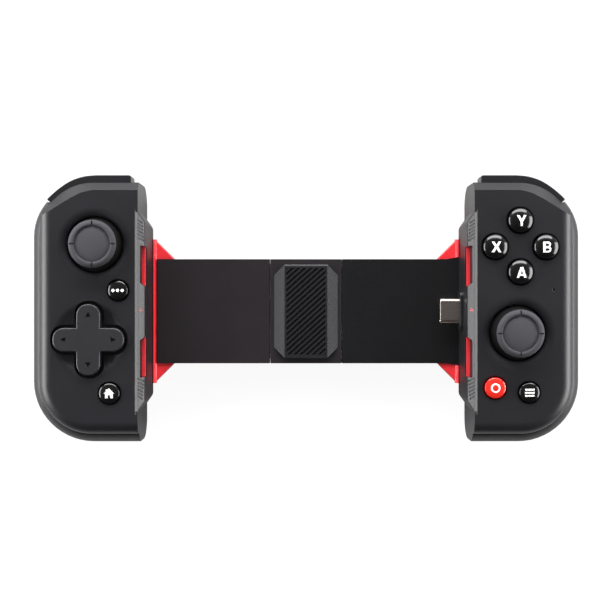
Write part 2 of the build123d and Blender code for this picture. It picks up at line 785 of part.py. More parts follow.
def sleeve_spread_form(z0, z1):
    """Plan shape of the right sleeve's end, which spreads a little towards the grip."""
    start, end = sleeve_right_end - sleeve_spread_length, sleeve_right_end
    half, wide = bridge_half, bridge_half + sleeve_spread
    return prism(((start, bridge_y - half), (end, bridge_y - wide), (end, bridge_y + wide),
                  (start, bridge_y + half)), z0, z1)


def sleeve(side):
    """Flat box tube that slides over the rail; its narrower tail runs on into the grip."""
    end = sleeve_right_end if side == RIGHT else sleeve_left_end
    low, high = bridge_y - bridge_half, bridge_y + bridge_half
    start = housing_half_x + stop_gap
    tube = block(start, end, low, high, sleeve_z[0], sleeve_z[1])
    tube += block(end, sleeve_tongue_end, low, high, sleeve_z[0], sleeve_tongue_z)
    if side == RIGHT:
        tube += sleeve_spread_form(sleeve_z[0], sleeve_z[1])
        tube -= plug_base_block(plug_base_x[0], plug_base_x[1])
    tube -= block(start - face_wall, sleeve_tongue_end + face_wall, bridge_y - sleeve_inner_half,
                  bridge_y + sleeve_inner_half, sleeve_inner_z[0], sleeve_inner_z[1])
    hook_y = bridge_y - spring_y if side == RIGHT else bridge_y + spring_y
    tube += rod(spring_post_x[1], hook_y, spring_post_z[0], sleeve_inner_z[1], spring_post_r)
    return on_side(tube, side)


def rack_teeth(first, last):
    """Cutter for the gaps of a rack, from one gap number to another, about its pitch line."""
    pitch = pi * gear_module
    pitch_y = bridge_y - gear_module * gear_tooth_count / 2
    up = gear_module * gear_tip_share
    down = gear_module * gear_root_share
    slope = tan(radians(gear_pressure))
    half = pitch / 4 + gear_backlash / 2
    cutter = None
    for number in range(first, last + 1):
        x = number * pitch
        gap = prism(((x - half - up * slope, pitch_y + up), (x - half + down * slope, pitch_y - down),
                     (x + half - down * slope, pitch_y - down), (x + half + up * slope, pitch_y + up)),
                    rack_z[0], rack_z[1])
        cutter = gap if cutter is None else cutter + gap
    return cutter


def rack(side):
    """Toothed bar under a sleeve's roof; the left one is the right one turned half round."""
    tip_y = bridge_y - gear_module * gear_tooth_count / 2 + gear_module * gear_tip_share
    bar = block(rack_nose_x, rack_tail_x, bridge_y - rack_back, tip_y, rack_z[0], rack_z[1])
    bar -= rack_teeth(-rack_before_count, rack_after_count)
    bar += block(rack_boss_x[0], rack_boss_x[1], bridge_y - rack_boss_y[1], bridge_y - rack_boss_y[0],
                 rack_z[1], sleeve_inner_z[1])
    if side == RIGHT:
        return bar
    return Pos(0, bridge_y, 0) * Rot(0, 0, 180) * Pos(0, -bridge_y, 0) * bar


def involute_flank(base_r, radii):
    """Points of one involute flank, as (radius, angle from the flank's start)."""
    points = []
    for r in radii:
        pressure = acos(base_r / r)
        points.append((r, tan(pressure) - pressure))
    return points


def pinion():
    """Involute spur gear that meshes with both racks."""
    pitch_r = gear_module * gear_tooth_count / 2
    base_r = pitch_r * cos(radians(gear_pressure))
    tip_r = pitch_r + gear_module * gear_tip_share
    root_r = pitch_r - gear_module * gear_root_share
    steps = gear_flank_count
    radii = [base_r + (tip_r - base_r) * i / steps for i in range(steps + 1)]
    flank = involute_flank(base_r, radii)
    pitch_turn = involute_flank(base_r, [pitch_r])[0][1]
    half_tooth = (pi * gear_module / 2 - gear_backlash) / 2 / pitch_r
    outline = []
    for tooth in range(gear_tooth_count):
        middle = pi / 2 + tooth * 2 * pi / gear_tooth_count
        start = middle - half_tooth - pitch_turn
        finish = middle + half_tooth + pitch_turn
        outline.append((root_r * cos(start), bridge_y + root_r * sin(start)))
        for r, turn in flank:
            outline.append((r * cos(start + turn), bridge_y + r * sin(start + turn)))
        for r, turn in reversed(flank):
            outline.append((r * cos(finish - turn), bridge_y + r * sin(finish - turn)))
        outline.append((root_r * cos(finish), bridge_y + root_r * sin(finish)))
    gear = prism(outline, gear_z[0], gear_z[1])
    return gear - rod(0, bridge_y, gear_z[0], gear_z[1], gear_bore_r)


def bridge_rail():
    """Shallow tray that both sleeves slide on, with the pinion's seat and two spring posts."""
    tray = block(-rail_end, rail_end, bridge_y - rail_half, bridge_y + rail_half, rail_z[0], rail_z[1])
    inner = rail_half - rail_wall
    floor = rail_z[0] + rail_wall
    tray -= block(-rail_end, rail_end, bridge_y - inner, bridge_y + inner, floor, rail_z[1])
    tray += rod(0, bridge_y, floor, pinion_seat_z, pinion_seat_r)
    for side in (RIGHT, LEFT):
        tray += rod(side * spring_post_x[0], bridge_y - side * spring_y, floor, spring_post_z[1],
                    spring_post_r)
    tray -= rod(0, bridge_y, rail_z[0], pinion_seat_z, pinion_pin_r)
    return tray


def bridge_housing():
    """Centre block that clasps the rail."""
    body = block(-housing_half_x, housing_half_x, bridge_y - bridge_half, bridge_y + bridge_half,
                 housing_z[0], housing_z[1])
    body -= block(-housing_half_x, housing_half_x, bridge_y - rail_half, bridge_y + rail_half,
                  rail_z[0], rail_z[1])
    body -= rod(0, bridge_y, housing_z[0], rail_z[0], pinion_pin_r)
    return body


def bridge_pad():
    """Eight-sided rubber pad with two bevelled sides."""
    hx, hy = pad_half
    c = pad_corner
    octagon = ((-hx, -hy + c), (-hx + c, -hy), (hx - c, -hy), (hx, -hy + c),
               (hx, hy - c), (hx - c, hy), (-hx + c, hy), (-hx, hy - c))
    plan = prism([(x, bridge_y + y) for x, y in octagon], housing_z[1], pad_z)
    roof = ((-hx, housing_z[1]), (-hx, pad_shoulder_z), (-pad_flat_half, pad_z),
            (pad_flat_half, pad_z), (hx, pad_shoulder_z), (hx, housing_z[1]))
    return plan & prism_y(roof, bridge_y - hy, bridge_y + hy)


def pinion_pin():
    """Fixed pin that the pinion turns on."""
    return rod(0, bridge_y, housing_z[0], rail_z[1], pinion_pin_r)


def return_spring(side):
    """Closed form in the place of a tension spring between the rail and a sleeve."""
    x0 = spring_post_x[0] + spring_post_r
    x1 = spring_post_x[1] - spring_post_r
    y = bridge_y - side * spring_y
    if side == RIGHT:
        return rod_x(x0, x1, y, spring_z, spring_r)
    return rod_x(-x1, -x0, y, spring_z, spring_r)


def circuit_board(side, stick):
    """Board on the four posts, with an opening for the stick's module."""
    x0, x1 = board_x
    y0, y1 = board_y
    board = raised(grip_outline(x0, x1, y0, y1, board_r, board_r), board_z[0], board_z[1])
    sx, sy = stick
    hole = module_half
    board -= block(sx - hole, sx + hole, sy - hole, sy + hole, board_z[0], board_z[1])
    return on_side(board, side)


def switches(side, buttons, pad):
    """Small switches on the board under each button, and the one that the bumper presses."""
    z0 = board_z[1]
    group = side_switch()
    for x, y, r in buttons:
        group += one_switch(x, y)
    for x, y in pad:
        for dx, dy in ((1, 0), (-1, 0), (0, 1), (0, -1)):
            group += one_switch(x + dx * dpad_nub_at, y + dy * dpad_nub_at)
        near, far, half = dpad_lug
        for way in (1, -1):
            x0, x1 = sorted((x + way * near, x + way * far))
            lug = block(x0, x1, y - half, y + half, z0, dpad_lug_top)
            group += lug - rod_x(x0, x1, y, dpad_pivot_z, dpad_pin_r + journal_gap)
    return on_side(group, side)


def one_switch(x, y):
    """Square switch with its actuator."""
    z0 = board_z[1]
    top = z0 + switch_height
    body = block(x - switch_half, x + switch_half, y - switch_half, y + switch_half, z0, top)
    half, height = switch_dot
    return body + block(x - half, x + half, y - half, y + half, top, top + height)


def side_switch():
    """Upright switch at the board's edge behind the bumper."""
    x0, x1 = [bumper_centre[0] + reach for reach in side_switch_reach]
    y0, y1 = board_y[1] - side_switch_depth[0], board_y[1] + side_switch_depth[1]
    return block(x0, x1, y0, y1, board_z[1], board_z[1] + side_switch_height)


def stick_module(side, stick):
    """Open box that holds the stick's yoke between two walls."""
    x, y = stick
    z0, floor, z1 = module_z
    h, c = module_half, module_cavity_half
    box = block(x - h, x + h, y - h, y + h, z0, z1)
    box -= block(x - c, x + c, y - c, y + c, floor, z1)
    box -= rod_x(x - h, x + h, y, stick_pivot_z, yoke_pin_r + journal_gap)
    return on_side(box, side)


def stick_yoke(side, stick):
    """Frame that rocks about X in the module and carries the spindle's cross pin."""
    x, y = stick
    z = stick_pivot_z
    h, t = yoke_half, yoke_half_z
    ox, oy = yoke_open
    frame = rod_x(x - yoke_pin_reach, x + yoke_pin_reach, y, z, yoke_pin_r)
    frame += block(x - h, x + h, y - h, y + h, z - t, z + t)
    frame -= block(x - ox, x + ox, y - oy, y + oy, z - t, z + t)
    frame -= rod_y(x, y - h, y + h, z, pivot_pin_r + journal_gap)
    return on_side(frame, side)


def stick_pivot(side, stick):
    """Hub that rocks about Y in the yoke, with the spindle that carries the cap."""
    x, y = stick
    z = stick_pivot_z
    h = pivot_hub_half
    hub = block(x - h, x + h, y - h, y + h, z - h, z + h)
    hub += rod_y(x, y - pivot_pin_reach, y + pivot_pin_reach, z, pivot_pin_r)
    half = spindle_half
    hub += block(x - half, x + half, y - half, y + half, z, spindle_top_z)
    return on_side(hub, side)


def stick_cap(side, stick):
    """Thumb cap with a dished top on a stalk, and the skirt that hides the mechanism."""
    x, y = stick
    half, bore = cap_sleeve_half, spindle_half + journal_gap
    low, high = cap_bore_z
    top = cap_z - cap_skirt_drop
    roof = top - cap_skirt_roof
    foot = top - cap_skirt_height
    edge, under = [cap_z - drop for drop in cap_edge_drop]
    head = many_sided(((cap_rim_r, cap_z), (cap_r, edge), (cap_r, under)), cap_side_count)
    head -= many_sided(((cap_lip_r, cap_z), (cap_dish_r, cap_z - cap_dish_depth)), cap_side_count)
    head += many_sided(((cap_stalk_r, under), (cap_stalk_r, roof)), cap_skirt_side_count)
    outer = [(cap_skirt_r * r, top - cap_skirt_height * drop) for r, drop in cap_skirt_shares]
    inner_r, inner_height = cap_skirt_r - cap_skirt_wall, cap_skirt_height - cap_skirt_roof
    inner = [(inner_r * r, foot + inner_height * (1 - drop)) for r, drop in cap_skirt_inner_shares]
    head += many_sided(outer, cap_skirt_side_count) - many_sided(inner, cap_skirt_side_count)
    cap = Pos(x, y, 0) * head
    cap += block(x - half, x + half, y - half, y + half, low, roof)
    cap -= block(x - bore, x + bore, y - bore, y + bore, low, high)
    return on_side(cap, side)


def many_sided(rings, sides):
    """Many-sided turned form through (r, z) rings from the top down; the r is that of the corners."""
    flat_share = cos(pi / sides)
    form = None
    for (r_top, z_top), (r_low, z_low) in zip(rings, rings[1:]):
        slope = degrees(atan((r_low - r_top) * flat_share / (z_top - z_low)))
        ring = extrude(Pos(0, 0, z_low) * RegularPolygon(r_low, sides),
                       amount=z_top - z_low, dir=(0, 0, 1), taper=slope)
        form = ring if form is None else form + ring
    return form


def dpad(side):
    """Direction pad: cross on a round flange, with four nubs and two lugs below."""
    x, y = at_share(dpad_shares)
    cross = dpad_cross(0, dpad_z[0], dpad_z[1])
    rim = [e for e in cross.edges() if e.center().Z > dpad_z[1] - dpad_edge / 2]
    cross = chamfer(rim, dpad_edge)
    body = Pos(x, y, 0) * cross
    wide, reach = dpad_arm + dpad_flange_grow, dpad_span + dpad_flange_reach
    for hx, hy in ((reach, wide), (wide, reach)):
        body += block(x - hx, x + hx, y - hy, y + hy, dpad_flange_z, dpad_z[0])
    for dx, dy in ((1, 0), (-1, 0), (0, 1), (0, -1)):
        nx, ny, half = x + dx * dpad_nub_at, y + dy * dpad_nub_at, dpad_nub_half
        body += block(nx - half, nx + half, ny - half, ny + half, dpad_nub_z, dpad_flange_z)
    near, far, half = dpad_lug
    for way in (1, -1):
        y0, y1 = sorted((y + way * near, y + way * far))
        lug = block(x - half, x + half, y0, y1, dpad_lug_foot, dpad_flange_z)
        body += lug - rod_y(x, y0, y1, dpad_pivot_z, dpad_pin_r + journal_gap)
    return on_side(body, side)


def dpad_pivot(side):
    """Small cross with four round pins that lets the direction pad rock both ways."""
    x, y = at_share(dpad_shares)
    z = dpad_pivot_z
    reach = dpad_pin_reach
    core = block(x - dpad_ball_r, x + dpad_ball_r, y - dpad_ball_r, y + dpad_ball_r,
                 z - dpad_ball_r / 2, z + dpad_ball_r / 2)
    core += rod_x(x - reach, x + reach, y, z, dpad_pin_r)
    core += rod_y(x, y - reach, y + reach, z, dpad_pin_r)
    return on_side(core, side)


def push_button(side, place):
    """Round button with a domed cap, two ears under the face and a stem over its switch."""
    shares, (r, edge, height) = place
    x, y = at_share(shares)
    ear_top = face_z - face_wall - rest_gap
    low = face_z - face_wall - button_ear_drop
    foot = board_z[1] + switch_height + switch_dot[1] + button_travel + rest_gap
    ear, half = button_ear
    half_stem = button_stem_half
    crown = ((r * crown_share, face_z + height), (r, face_z + edge), (r, low))
    body = Pos(x, y, 0) * many_sided(crown, button_side_count)
    body += block(x - r - ear, x + r + ear, y - half, y + half, low, ear_top)
    body += block(x - half_stem, x + half_stem, y - half_stem, y + half_stem, foot, low)
    return on_side(body, side)


def bumper(side):
    """Shoulder bumper: a bent strip along the head with a lug and two studs at its inner end."""
    cx, cy = bumper_centre
    end = radians(bumper_end_angle)
    outer, inner = bumper_outer_r, bumper_inner_r
    x0 = bumper_end_x
    top = cy + outer
    lug_x, lug_y = bumper_lug
    strip = cy + inner
    plan = make_face([
        Line((x0, lug_y), (x0, top - bumper_bevel)),
        Line((x0, top - bumper_bevel), (x0 + bumper_bevel, top)),
        Line((x0 + bumper_bevel, top), (cx, top)),
        arc_between(cx, cy, outer, pi / 2, end),
        Line((cx + outer * cos(end), cy + outer * sin(end)), (cx + inner * cos(end), cy + inner * sin(end))),
        arc_between(cx, cy, inner, end, pi / 2),
        Line((cx, strip), (lug_x, strip)),
        Line((lug_x, strip), (lug_x, lug_y)),
        Line((lug_x, lug_y), (x0, lug_y)),
    ])
    z0, z1 = bumper_z
    body = Pos(0, 0, z0) * extrude(plan, amount=z1 - z0, dir=(0, 0, 1))
    px, py = bumper_pivot
    body += rod(px, py, bumper_stud_z[0], bumper_stud_z[1], bumper_stud_r)
    nx0, nx1 = [cx + reach for reach in bumper_nub_reach]
    nz0, nz1 = [board_z[1] + rise for rise in bumper_nub_rise]
    back = board_y[1] + side_switch_depth[1] + bumper_nub_gap
    body += block(nx0, nx1, back, strip, nz0, nz1)
    return on_side(body, side)


def trigger(side):
    """Trigger: a curved lever on a barrel, cut to follow the round head corner."""
    cx, cy = bumper_centre
    x0, x1 = trigger_x
    y, z = trigger_pivot
    lever = prism_x(trigger_profile, x0, x1) + rod_x(x0, x1, y, z, trigger_barrel_r)
    reach = rod(cx, cy, 0, ledge_z[0], trigger_face_r)
    reach += block(x0, cx, cy, cy + trigger_face_r, 0, ledge_z[0])
    reach += block(x0, x1, y - trigger_barrel_r, y + trigger_barrel_r, 0, ledge_z[0])
    lever = lever & reach
    lever -= rod_x(x0, x1, y, z, trigger_pin_r + journal_gap)
    return on_side(lever, side)


def trigger_spring(side):
    """Closed form in the place of the spring behind a trigger."""
    y0, y1 = trigger_spring_y, trigger_profile[7][0] - rest_gap
    x, z = trigger_spring_x, trigger_spring_z
    return on_side(rod_y(x, y0, y1, z, trigger_spring_r), side)


def stadium_x(width, height, x0, x1, y, z):
    """Bar along X with a round-ended section."""
    r = height / 2
    bar = block(x0, x1, y - width / 2 + r, y + width / 2 - r, z - r, z + r)
    for way in (1, -1):
        bar += rod_x(x0, x1, y + way * (width / 2 - r), z, r)
    return bar


def stadium_y(width, height, y0, y1, x, z):
    """Bar along Y with a round-ended section."""
    r = height / 2
    bar = block(x - width / 2 + r, x + width / 2 - r, y0, y1, z - r, z + r)
    for way in (1, -1):
        bar += rod_y(x + way * (width / 2 - r), y0, y1, z, r)
    return bar


def usb_plug():
    """Metal plug shell, hollow at its mouth, with the two contact strips inside."""
    wide, high = plug_shell
    inner = wide - 2 * plug_wall, high - 2 * plug_wall
    shell = stadium_x(wide, high, plug_tip_x, plug_end_x, plug_y, plug_z)
    deep = plug_tip_x + plug_cavity
    shell -= stadium_x(inner[0], inner[1], plug_tip_x, deep, plug_y, plug_z)
    strip_w, strip_t = plug_insert
    for way in (1, -1):
        z0, z1 = sorted((plug_z + way * inner[1] / 2, plug_z + way * (inner[1] / 2 - strip_t)))
        shell += block(plug_tip_x + plug_wall, deep, plug_y - strip_w / 2, plug_y + strip_w / 2, z0, z1)
    return shell


def plug_base_block(x0, x1):
    """Block with round long edges, the outside of the plug's base."""
    hy, hz = plug_base_half
    base = block(x0, x1, plug_y - hy, plug_y + hy, plug_z - hz, plug_z + hz)
    edges = [e for e in base.edges().filter_by(Axis.X)]
    return fillet(edges, plug_base_round)


def usb_plug_base():
    """Moulded base that holds the plug in the wing's wall."""
    base = plug_base_block(plug_base_x[0], plug_base_x[1])
    return base - stadium_x(plug_shell[0], plug_shell[1], plug_base_x[0], plug_end_x, plug_y, plug_z)


def port_opening():
    """Shallow pocket and opening for the charging socket in the foot of a back shell."""
    wide, high = port_pocket
    pocket = block(port_x - wide / 2, port_x + wide / 2, back_low_y, back_low_y + port_pocket_depth,
                   port_z - high / 2, port_z + high / 2)
    reach = back_low_y + shell_wall * 2
    return pocket + stadium_y(port_shell[0], port_shell[1], back_low_y, reach, port_x, port_z)


def charging_port():
    """Metal socket with its tongue, open towards the foot of the grip."""
    wide, high = port_shell
    y0, y1 = port_y
    shell = stadium_y(wide, high, y0, y1, port_x, port_z)
    shell -= stadium_y(wide - 2 * port_wall, high - 2 * port_wall, y0, y0 + port_depth, port_x, port_z)
    tongue_w, tongue_t = port_tongue
    shell += block(port_x - tongue_w / 2, port_x + tongue_w / 2, y0 + port_wall, y0 + port_depth,
                   port_z - tongue_t / 2, port_z + tongue_t / 2)
    return shell


def indicator_lens():
    """Tiny round lens in the right face."""
    x, y = at_share(indicator_shares)
    return rod(x, y, face_z - face_wall, indicator_z, indicator_r)


def grip_nodes(side, stick, buttons, pad):
    """All pieces that both grips have."""
    name = "right" if side == RIGHT else "left"
    plain = [at_share(shares) + (form[0],) for key, (shares, form) in buttons]
    return {
        name + "_front_shell": front_shell(side, [stick], plain, pad),
        name + "_back_shell": back_shell(side),
        name + "_bracket": bracket(side),
        name + "_sleeve": sleeve(side),
        name + "_rack": rack(side),
        name + "_circuit_board": circuit_board(side, stick),
        name + "_switches": switches(side, plain, pad),
        name + "_stick_module": stick_module(side, stick),
        name + "_stick_yoke": stick_yoke(side, stick),
        name + "_stick_pivot": stick_pivot(side, stick),
        name + "_stick_cap": stick_cap(side, stick),
        name + "_bumper": bumper(side),
        name + "_trigger": trigger(side),
        name + "_trigger_pin": on_side(trigger_pin_rod(), side),
        name + "_trigger_spring": trigger_spring(side),
    }


def controller():
    """Every piece by its name."""
    left_buttons = [("view", button_view), ("home", button_home)]
    right_buttons = [("a", button_a), ("b", button_b), ("x", button_x), ("y", button_y),
                     ("app", button_app), ("menu", button_menu)]
    stick_left, stick_right = at_share(stick_left_shares), at_share(stick_right_shares)
    nodes = grip_nodes(LEFT, stick_left, left_buttons, [at_share(dpad_shares)])
    nodes.update(grip_nodes(RIGHT, stick_right, right_buttons, []))
    for key, place in left_buttons:
        nodes[key + "_button"] = push_button(LEFT, place)
    for key, place in right_buttons:
        nodes[key + "_button"] = push_button(RIGHT, place)
    nodes["dpad"] = dpad(LEFT)
    nodes["dpad_pivot"] = dpad_pivot(LEFT)
    nodes["usb_plug"] = usb_plug()
    nodes["usb_plug_base"] = usb_plug_base()
    nodes["charging_port"] = charging_port()
    nodes["indicator_lens"] = indicator_lens()
    nodes["bridge_housing"] = bridge_housing()
    nodes["bridge_pad"] = bridge_pad()
    nodes["bridge_rail"] = bridge_rail()
    nodes["pinion_pin"] = pinion_pin()
    nodes["pinion"] = pinion()
    nodes["left_return_spring"] = return_spring(LEFT)
    nodes["right_return_spring"] = return_spring(RIGHT)
    return nodes


for node, shape in controller().items():
    export_step(shape, "parts/" + node + ".step")
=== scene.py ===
"""Looks of a mobile game controller, built round its CAD frame.

The shape code works in millimetres, in the frame's own axes: the controller lies on its back, X
runs across it, Y towards the shoulder buttons and Z out of its face. A grip is made on the right
and mirrored for the left. Run as a script, the file dresses the frame and sets the stage.
"""

from math import cos, pi, radians, sin, tau

import bmesh
import bpy
from mathutils import Matrix, Vector


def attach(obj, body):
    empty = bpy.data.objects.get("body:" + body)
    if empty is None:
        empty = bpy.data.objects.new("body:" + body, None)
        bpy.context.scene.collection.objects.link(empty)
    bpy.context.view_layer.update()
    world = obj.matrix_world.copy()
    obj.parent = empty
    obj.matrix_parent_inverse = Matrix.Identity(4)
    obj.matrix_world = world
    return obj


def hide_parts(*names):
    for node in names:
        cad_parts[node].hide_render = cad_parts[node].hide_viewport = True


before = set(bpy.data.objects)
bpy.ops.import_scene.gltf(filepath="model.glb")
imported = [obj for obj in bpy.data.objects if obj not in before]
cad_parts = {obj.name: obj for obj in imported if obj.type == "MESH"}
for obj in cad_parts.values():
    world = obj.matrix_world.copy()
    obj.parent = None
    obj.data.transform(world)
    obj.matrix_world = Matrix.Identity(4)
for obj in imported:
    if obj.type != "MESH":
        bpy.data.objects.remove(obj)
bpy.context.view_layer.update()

bl_info = {
    "name": "Mobile game controller",
    "version": (1, 0, 0),
    "blender": (4, 5, 0),
    "location": "3D View > Sidebar > Controller",
    "description": "Shells, buttons, sticks and bridge of a game controller that holds a phone",
    "category": "Object",
}

MM = 0.001
RIGHT, LEFT = 1, -1
SIDE_NAMES = {RIGHT: "right", LEFT: "left"}

# Outline and levels of a grip. A turn at the head is its top, its radius and the angle at which it
# ends or starts.
INNER = 54.8
BACK_OUTER, BACK_LOW, HEAD = 90.3, -43.9, 41.5
BACK_LOW_R, BACK_HEAD_R = 20.0, 17.5
FRONT_OUTER, FRONT_LOW, FRONT_LOW_R = 87.2, -40.8, 16.9
SIDE_TURN, HEAD_TURN = (37.5, 11.0, 40.0), (41.5, 17.3, 48.0)
SEAM, FACE = 25.5, 31.0
SHELL_WALL, FACE_WALL = 1.8, 2.0
FAR = 62.0
# Levels under and over the face, between which its openings are cut.
UNDER, OVER = 24, 32

# Wing, bridge and what is in a grip.
BRIDGE_Y = -0.8
WING_ROOT, WING_SLOPE, WING_ROOT_HALF = 55.8, 5.4 / 3.8, 33.9
BEVEL_TOP_X, BEVEL_TOP_Z, BEVEL_SLOPE = 55.6, 30.82, 2.52 / 2.62
SLOT_X, SLOT_NEAR, SLOT_FAR = 52.5, 8.1, 21.6
POSTS = ((58.7, 30.6), (81.0, 28.8), (59.4, -34.5), (79.5, -30.0))
POST_HALF = 1.9
STICKS = {LEFT: (68.9, 21.1), RIGHT: (69.0, -7.8)}
SHAFT_HALF, SHAFT_LOW, SHAFT_TOP = 1.36, 28.0, 35.8
PAD_XY = (70.7, -9.9)
PAD_SPAN, PAD_ARM = 11.6, 3.85
# Grip, middle, radius, and the levels of the dome's edge and top.
BUTTONS = {
    "view_button": (LEFT, 61.2, 6.1, 3.15, 31.7, 32.5),
    "home_button": (LEFT, 64.0, -27.4, 3.3, 31.7, 32.5),
    "y_button": (RIGHT, 69.65, 28.9, 3.95, 32.1, 33.5),
    "x_button": (RIGHT, 61.5, 20.35, 3.95, 32.1, 33.5),
    "b_button": (RIGHT, 78.0, 20.3, 3.95, 32.1, 33.5),
    "a_button": (RIGHT, 69.7, 12.1, 3.95, 32.1, 33.5),
    "app_button": (RIGHT, 61.5, -25.6, 3.38, 31.7, 32.5),
    "menu_button": (RIGHT, 72.6, -27.1, 3.23, 31.7, 32.5),
}
LETTER_BUTTONS = ("a_button", "b_button", "x_button", "y_button")
LAMP_XY = (80.6, 6.3)
# Bumper: middle and radii of its bend, and the stud it turns on.
BEND_X, BEND_Y, BEND_OUTER_R, BEND_INNER_R = 69.0, 22.0, 21.9, 17.4
STUD_X, STUD_Y = 59.0, 37.1
# Trigger: its two sides, and where its pin runs.
TRIGGER_X = (61.0, 84.0)
PIN_Y, PIN_Z = 34.5, 12.4
PORT_X, PORT_Z = 66.5, 17.2
# Levels between which a printed sign and the holes in it are made.
SIGN_Z, SIGN_HOLE_Z = (29, 40), (28, 41)
# Shares of a button's radius at which its dome is worked out; a sign stops at the last one.
DOME_SHARES = (0, 0.15, 0.3, 0.45, 0.58, 0.7, 0.8, 0.88, 0.94)
# Lamps: name, place in millimetres, size in metres, and radiance.
LAMPS = (
    ("left_softbox", (-420, 10, 145), (0.36, 0.24), 9.0),
    ("right_softbox", (420, -20, 145), (0.36, 0.24), 9.0),
    ("head_softbox", (0, 900, 490), (1.5, 0.5), 10.0),
    ("key_softbox", (-380, 330, 400), (0.2, 0.2), 10.0),
)
# Camera and floor: place and lens, half the floor's size and its level, all in millimetres.
CAMERA_PLACE, CAMERA_LENS = (-2.0, 3.0, 531.0), 92.2
FLOOR_HALF, FLOOR_TOP = 900, -0.02


def linear(code):
    """Scene-linear colour of an sRGB hex code."""
    values = [int(code[i:i + 2], 16) / 255 for i in (1, 3, 5)]
    return tuple(v / 12.92 if v <= 0.04045 else ((v + 0.055) / 1.055) ** 2.4 for v in values)


class ControllerSizes(bpy.types.PropertyGroup):
    """Small sizes of the finish that don't change the controller's own dimensions."""

    edge_round: bpy.props.FloatProperty(
        name="Edge round", description="Radius on the edges of bumpers and triggers",
        default=0.3 * MM, min=0.05 * MM, max=0.6 * MM, unit="LENGTH", precision=5)
    print_height: bpy.props.FloatProperty(
        name="Print height", description="Thickness of the pad-printed signs",
        default=0.03 * MM, min=0.01 * MM, max=0.1 * MM, unit="LENGTH", precision=5)
    grain: bpy.props.FloatProperty(
        name="Grain", description="Size of the grain on the black shells",
        default=0.45 * MM, min=0.1 * MM, max=2 * MM, unit="LENGTH", precision=5)
    rib_pitch: bpy.props.FloatProperty(
        name="Rib pitch", description="Distance between the ribs of the rubber pad",
        default=1.38 * MM, min=0.8 * MM, max=3 * MM, unit="LENGTH", precision=5)


class ControllerColours(bpy.types.PropertyGroup):
    """Colours of the controller's finishes."""

    shell: bpy.props.FloatVectorProperty(
        name="Shell", description="Black of the front and back shells", subtype="COLOR",
        default=linear("#161519"), min=0, max=1)
    # The sleeves are one plastic: the left one's lighter black is painted reflection.
    left_bridge_painted_reflection: bpy.props.FloatVectorProperty(
        name="Left bridge", description="Black of the left sleeve", subtype="COLOR",
        default=linear("#1A1519"), min=0, max=1)
    # The right sleeve's deeper black is painted shade, darker than the left sleeve's.
    right_bridge_painted_shade: bpy.props.FloatVectorProperty(
        name="Right bridge", description="Black of the right sleeve", subtype="COLOR",
        default=linear("#060609"), min=0, max=1)
    accent: bpy.props.FloatVectorProperty(
        name="Accent", description="Red of the brackets", subtype="COLOR",
        default=linear("#E42F38"), min=0, max=1)
    app: bpy.props.FloatVectorProperty(
        name="Red button", description="Red of the small right button", subtype="COLOR",
        default=linear("#DE2A20"), min=0, max=1)
    gloss: bpy.props.FloatVectorProperty(
        name="Button black", description="Black of the polished buttons", subtype="COLOR",
        default=linear("#0A0A0B"), min=0, max=1)
    rubber: bpy.props.FloatVectorProperty(
        name="Stick rubber", description="Grey of the thumb sticks", subtype="COLOR",
        default=linear("#3A393D"), min=0, max=1)
    sign: bpy.props.FloatVectorProperty(
        name="Signs", description="White of the printed signs", subtype="COLOR",
        default=linear("#F4F4F2"), min=0, max=1)


# Meshes, in millimetres


def arc(cx, cy, r, first, last, steps):
    """Points on an arc, both ends included; the angles are in degrees."""
    turns = [radians(first + (last - first) * k / steps) for k in range(steps + 1)]
    return [(cx + r * cos(a), cy + r * sin(a)) for a in turns]


def rounded(points, r, steps=5):
    """Closed outline with each corner rounded to the same radius."""
    out = []
    count = len(points)
    for k in range(count):
        before, corner, after = (Vector(points[(k + d) % count]) for d in (-1, 0, 1))
        one, two = (before - corner).normalized(), (after - corner).normalized()
        half = one.angle(two) / 2
        reach = r / max(0.05, sin(half)) * cos(half)
        middle = corner + (one + two).normalized() * (r / sin(half))
        start = corner + one * reach - middle
        turn = start.angle_signed(corner + two * reach - middle)
        for step in range(steps + 1):
            out.append(tuple(middle + Matrix.Rotation(-turn * step / steps, 2) @ start))
    return out


def spun(points, degrees):
    """Points turned about the origin."""
    c, s = cos(radians(degrees)), sin(radians(degrees))
    return [(x * c - y * s, x * s + y * c) for x, y in points]


def moved(points, x, y):
    """Points moved sideways."""
    return [(px + x, py + y) for px, py in points]


def at_level(points, z):
    """An (x, y) outline at a level."""
    return [(x, y, z) for x, y in points]


def smooth_line(points, steps=5):
    """Points on a curve that runs through the given points."""
    ends = [points[0], *points, points[-1]]
    out = []
    for a, b, c, d in zip(ends, ends[1:], ends[2:], ends[3:]):
        for k in range(steps):
            t = k / steps
            out.append(tuple(
                0.5 * (2 * q + (r - p) * t + (2 * p - 5 * q + 4 * r - s) * t * t
                       + (3 * q - p - 3 * r + s) * t ** 3)
                for p, q, r, s in zip(a, b, c, d)))
    return out + [tuple(points[-1])]


def ring_solid(rings):
    """Closed mesh through rings that have the same number of points, with flat ends."""
    mesh = bmesh.new()
    rows = [[mesh.verts.new(point) for point in ring] for ring in rings]
    count = len(rows[0])
    for low, high in zip(rows, rows[1:]):
        for k in range(count):
            after = (k + 1) % count
            mesh.faces.new((low[k], low[after], high[after], high[k]))
    mesh.faces.new(rows[0][::-1])
    mesh.faces.new(rows[-1])
    bmesh.ops.recalc_face_normals(mesh, faces=mesh.faces)
    return mesh


def prism(points, z0, z1):
    """Upright prism on an (x, y) outline."""
    return ring_solid([at_level(points, z) for z in (z0, z1)])


def prism_x(points, x0, x1):
    """Prism along X on a (y, z) outline."""
    return ring_solid([[(x, y, z) for y, z in points] for x in (x0, x1)])


def prism_y(points, y0, y1):
    """Prism along Y on an (x, z) outline."""
    return ring_solid([[(x, y, z) for x, z in points] for y in (y0, y1)])


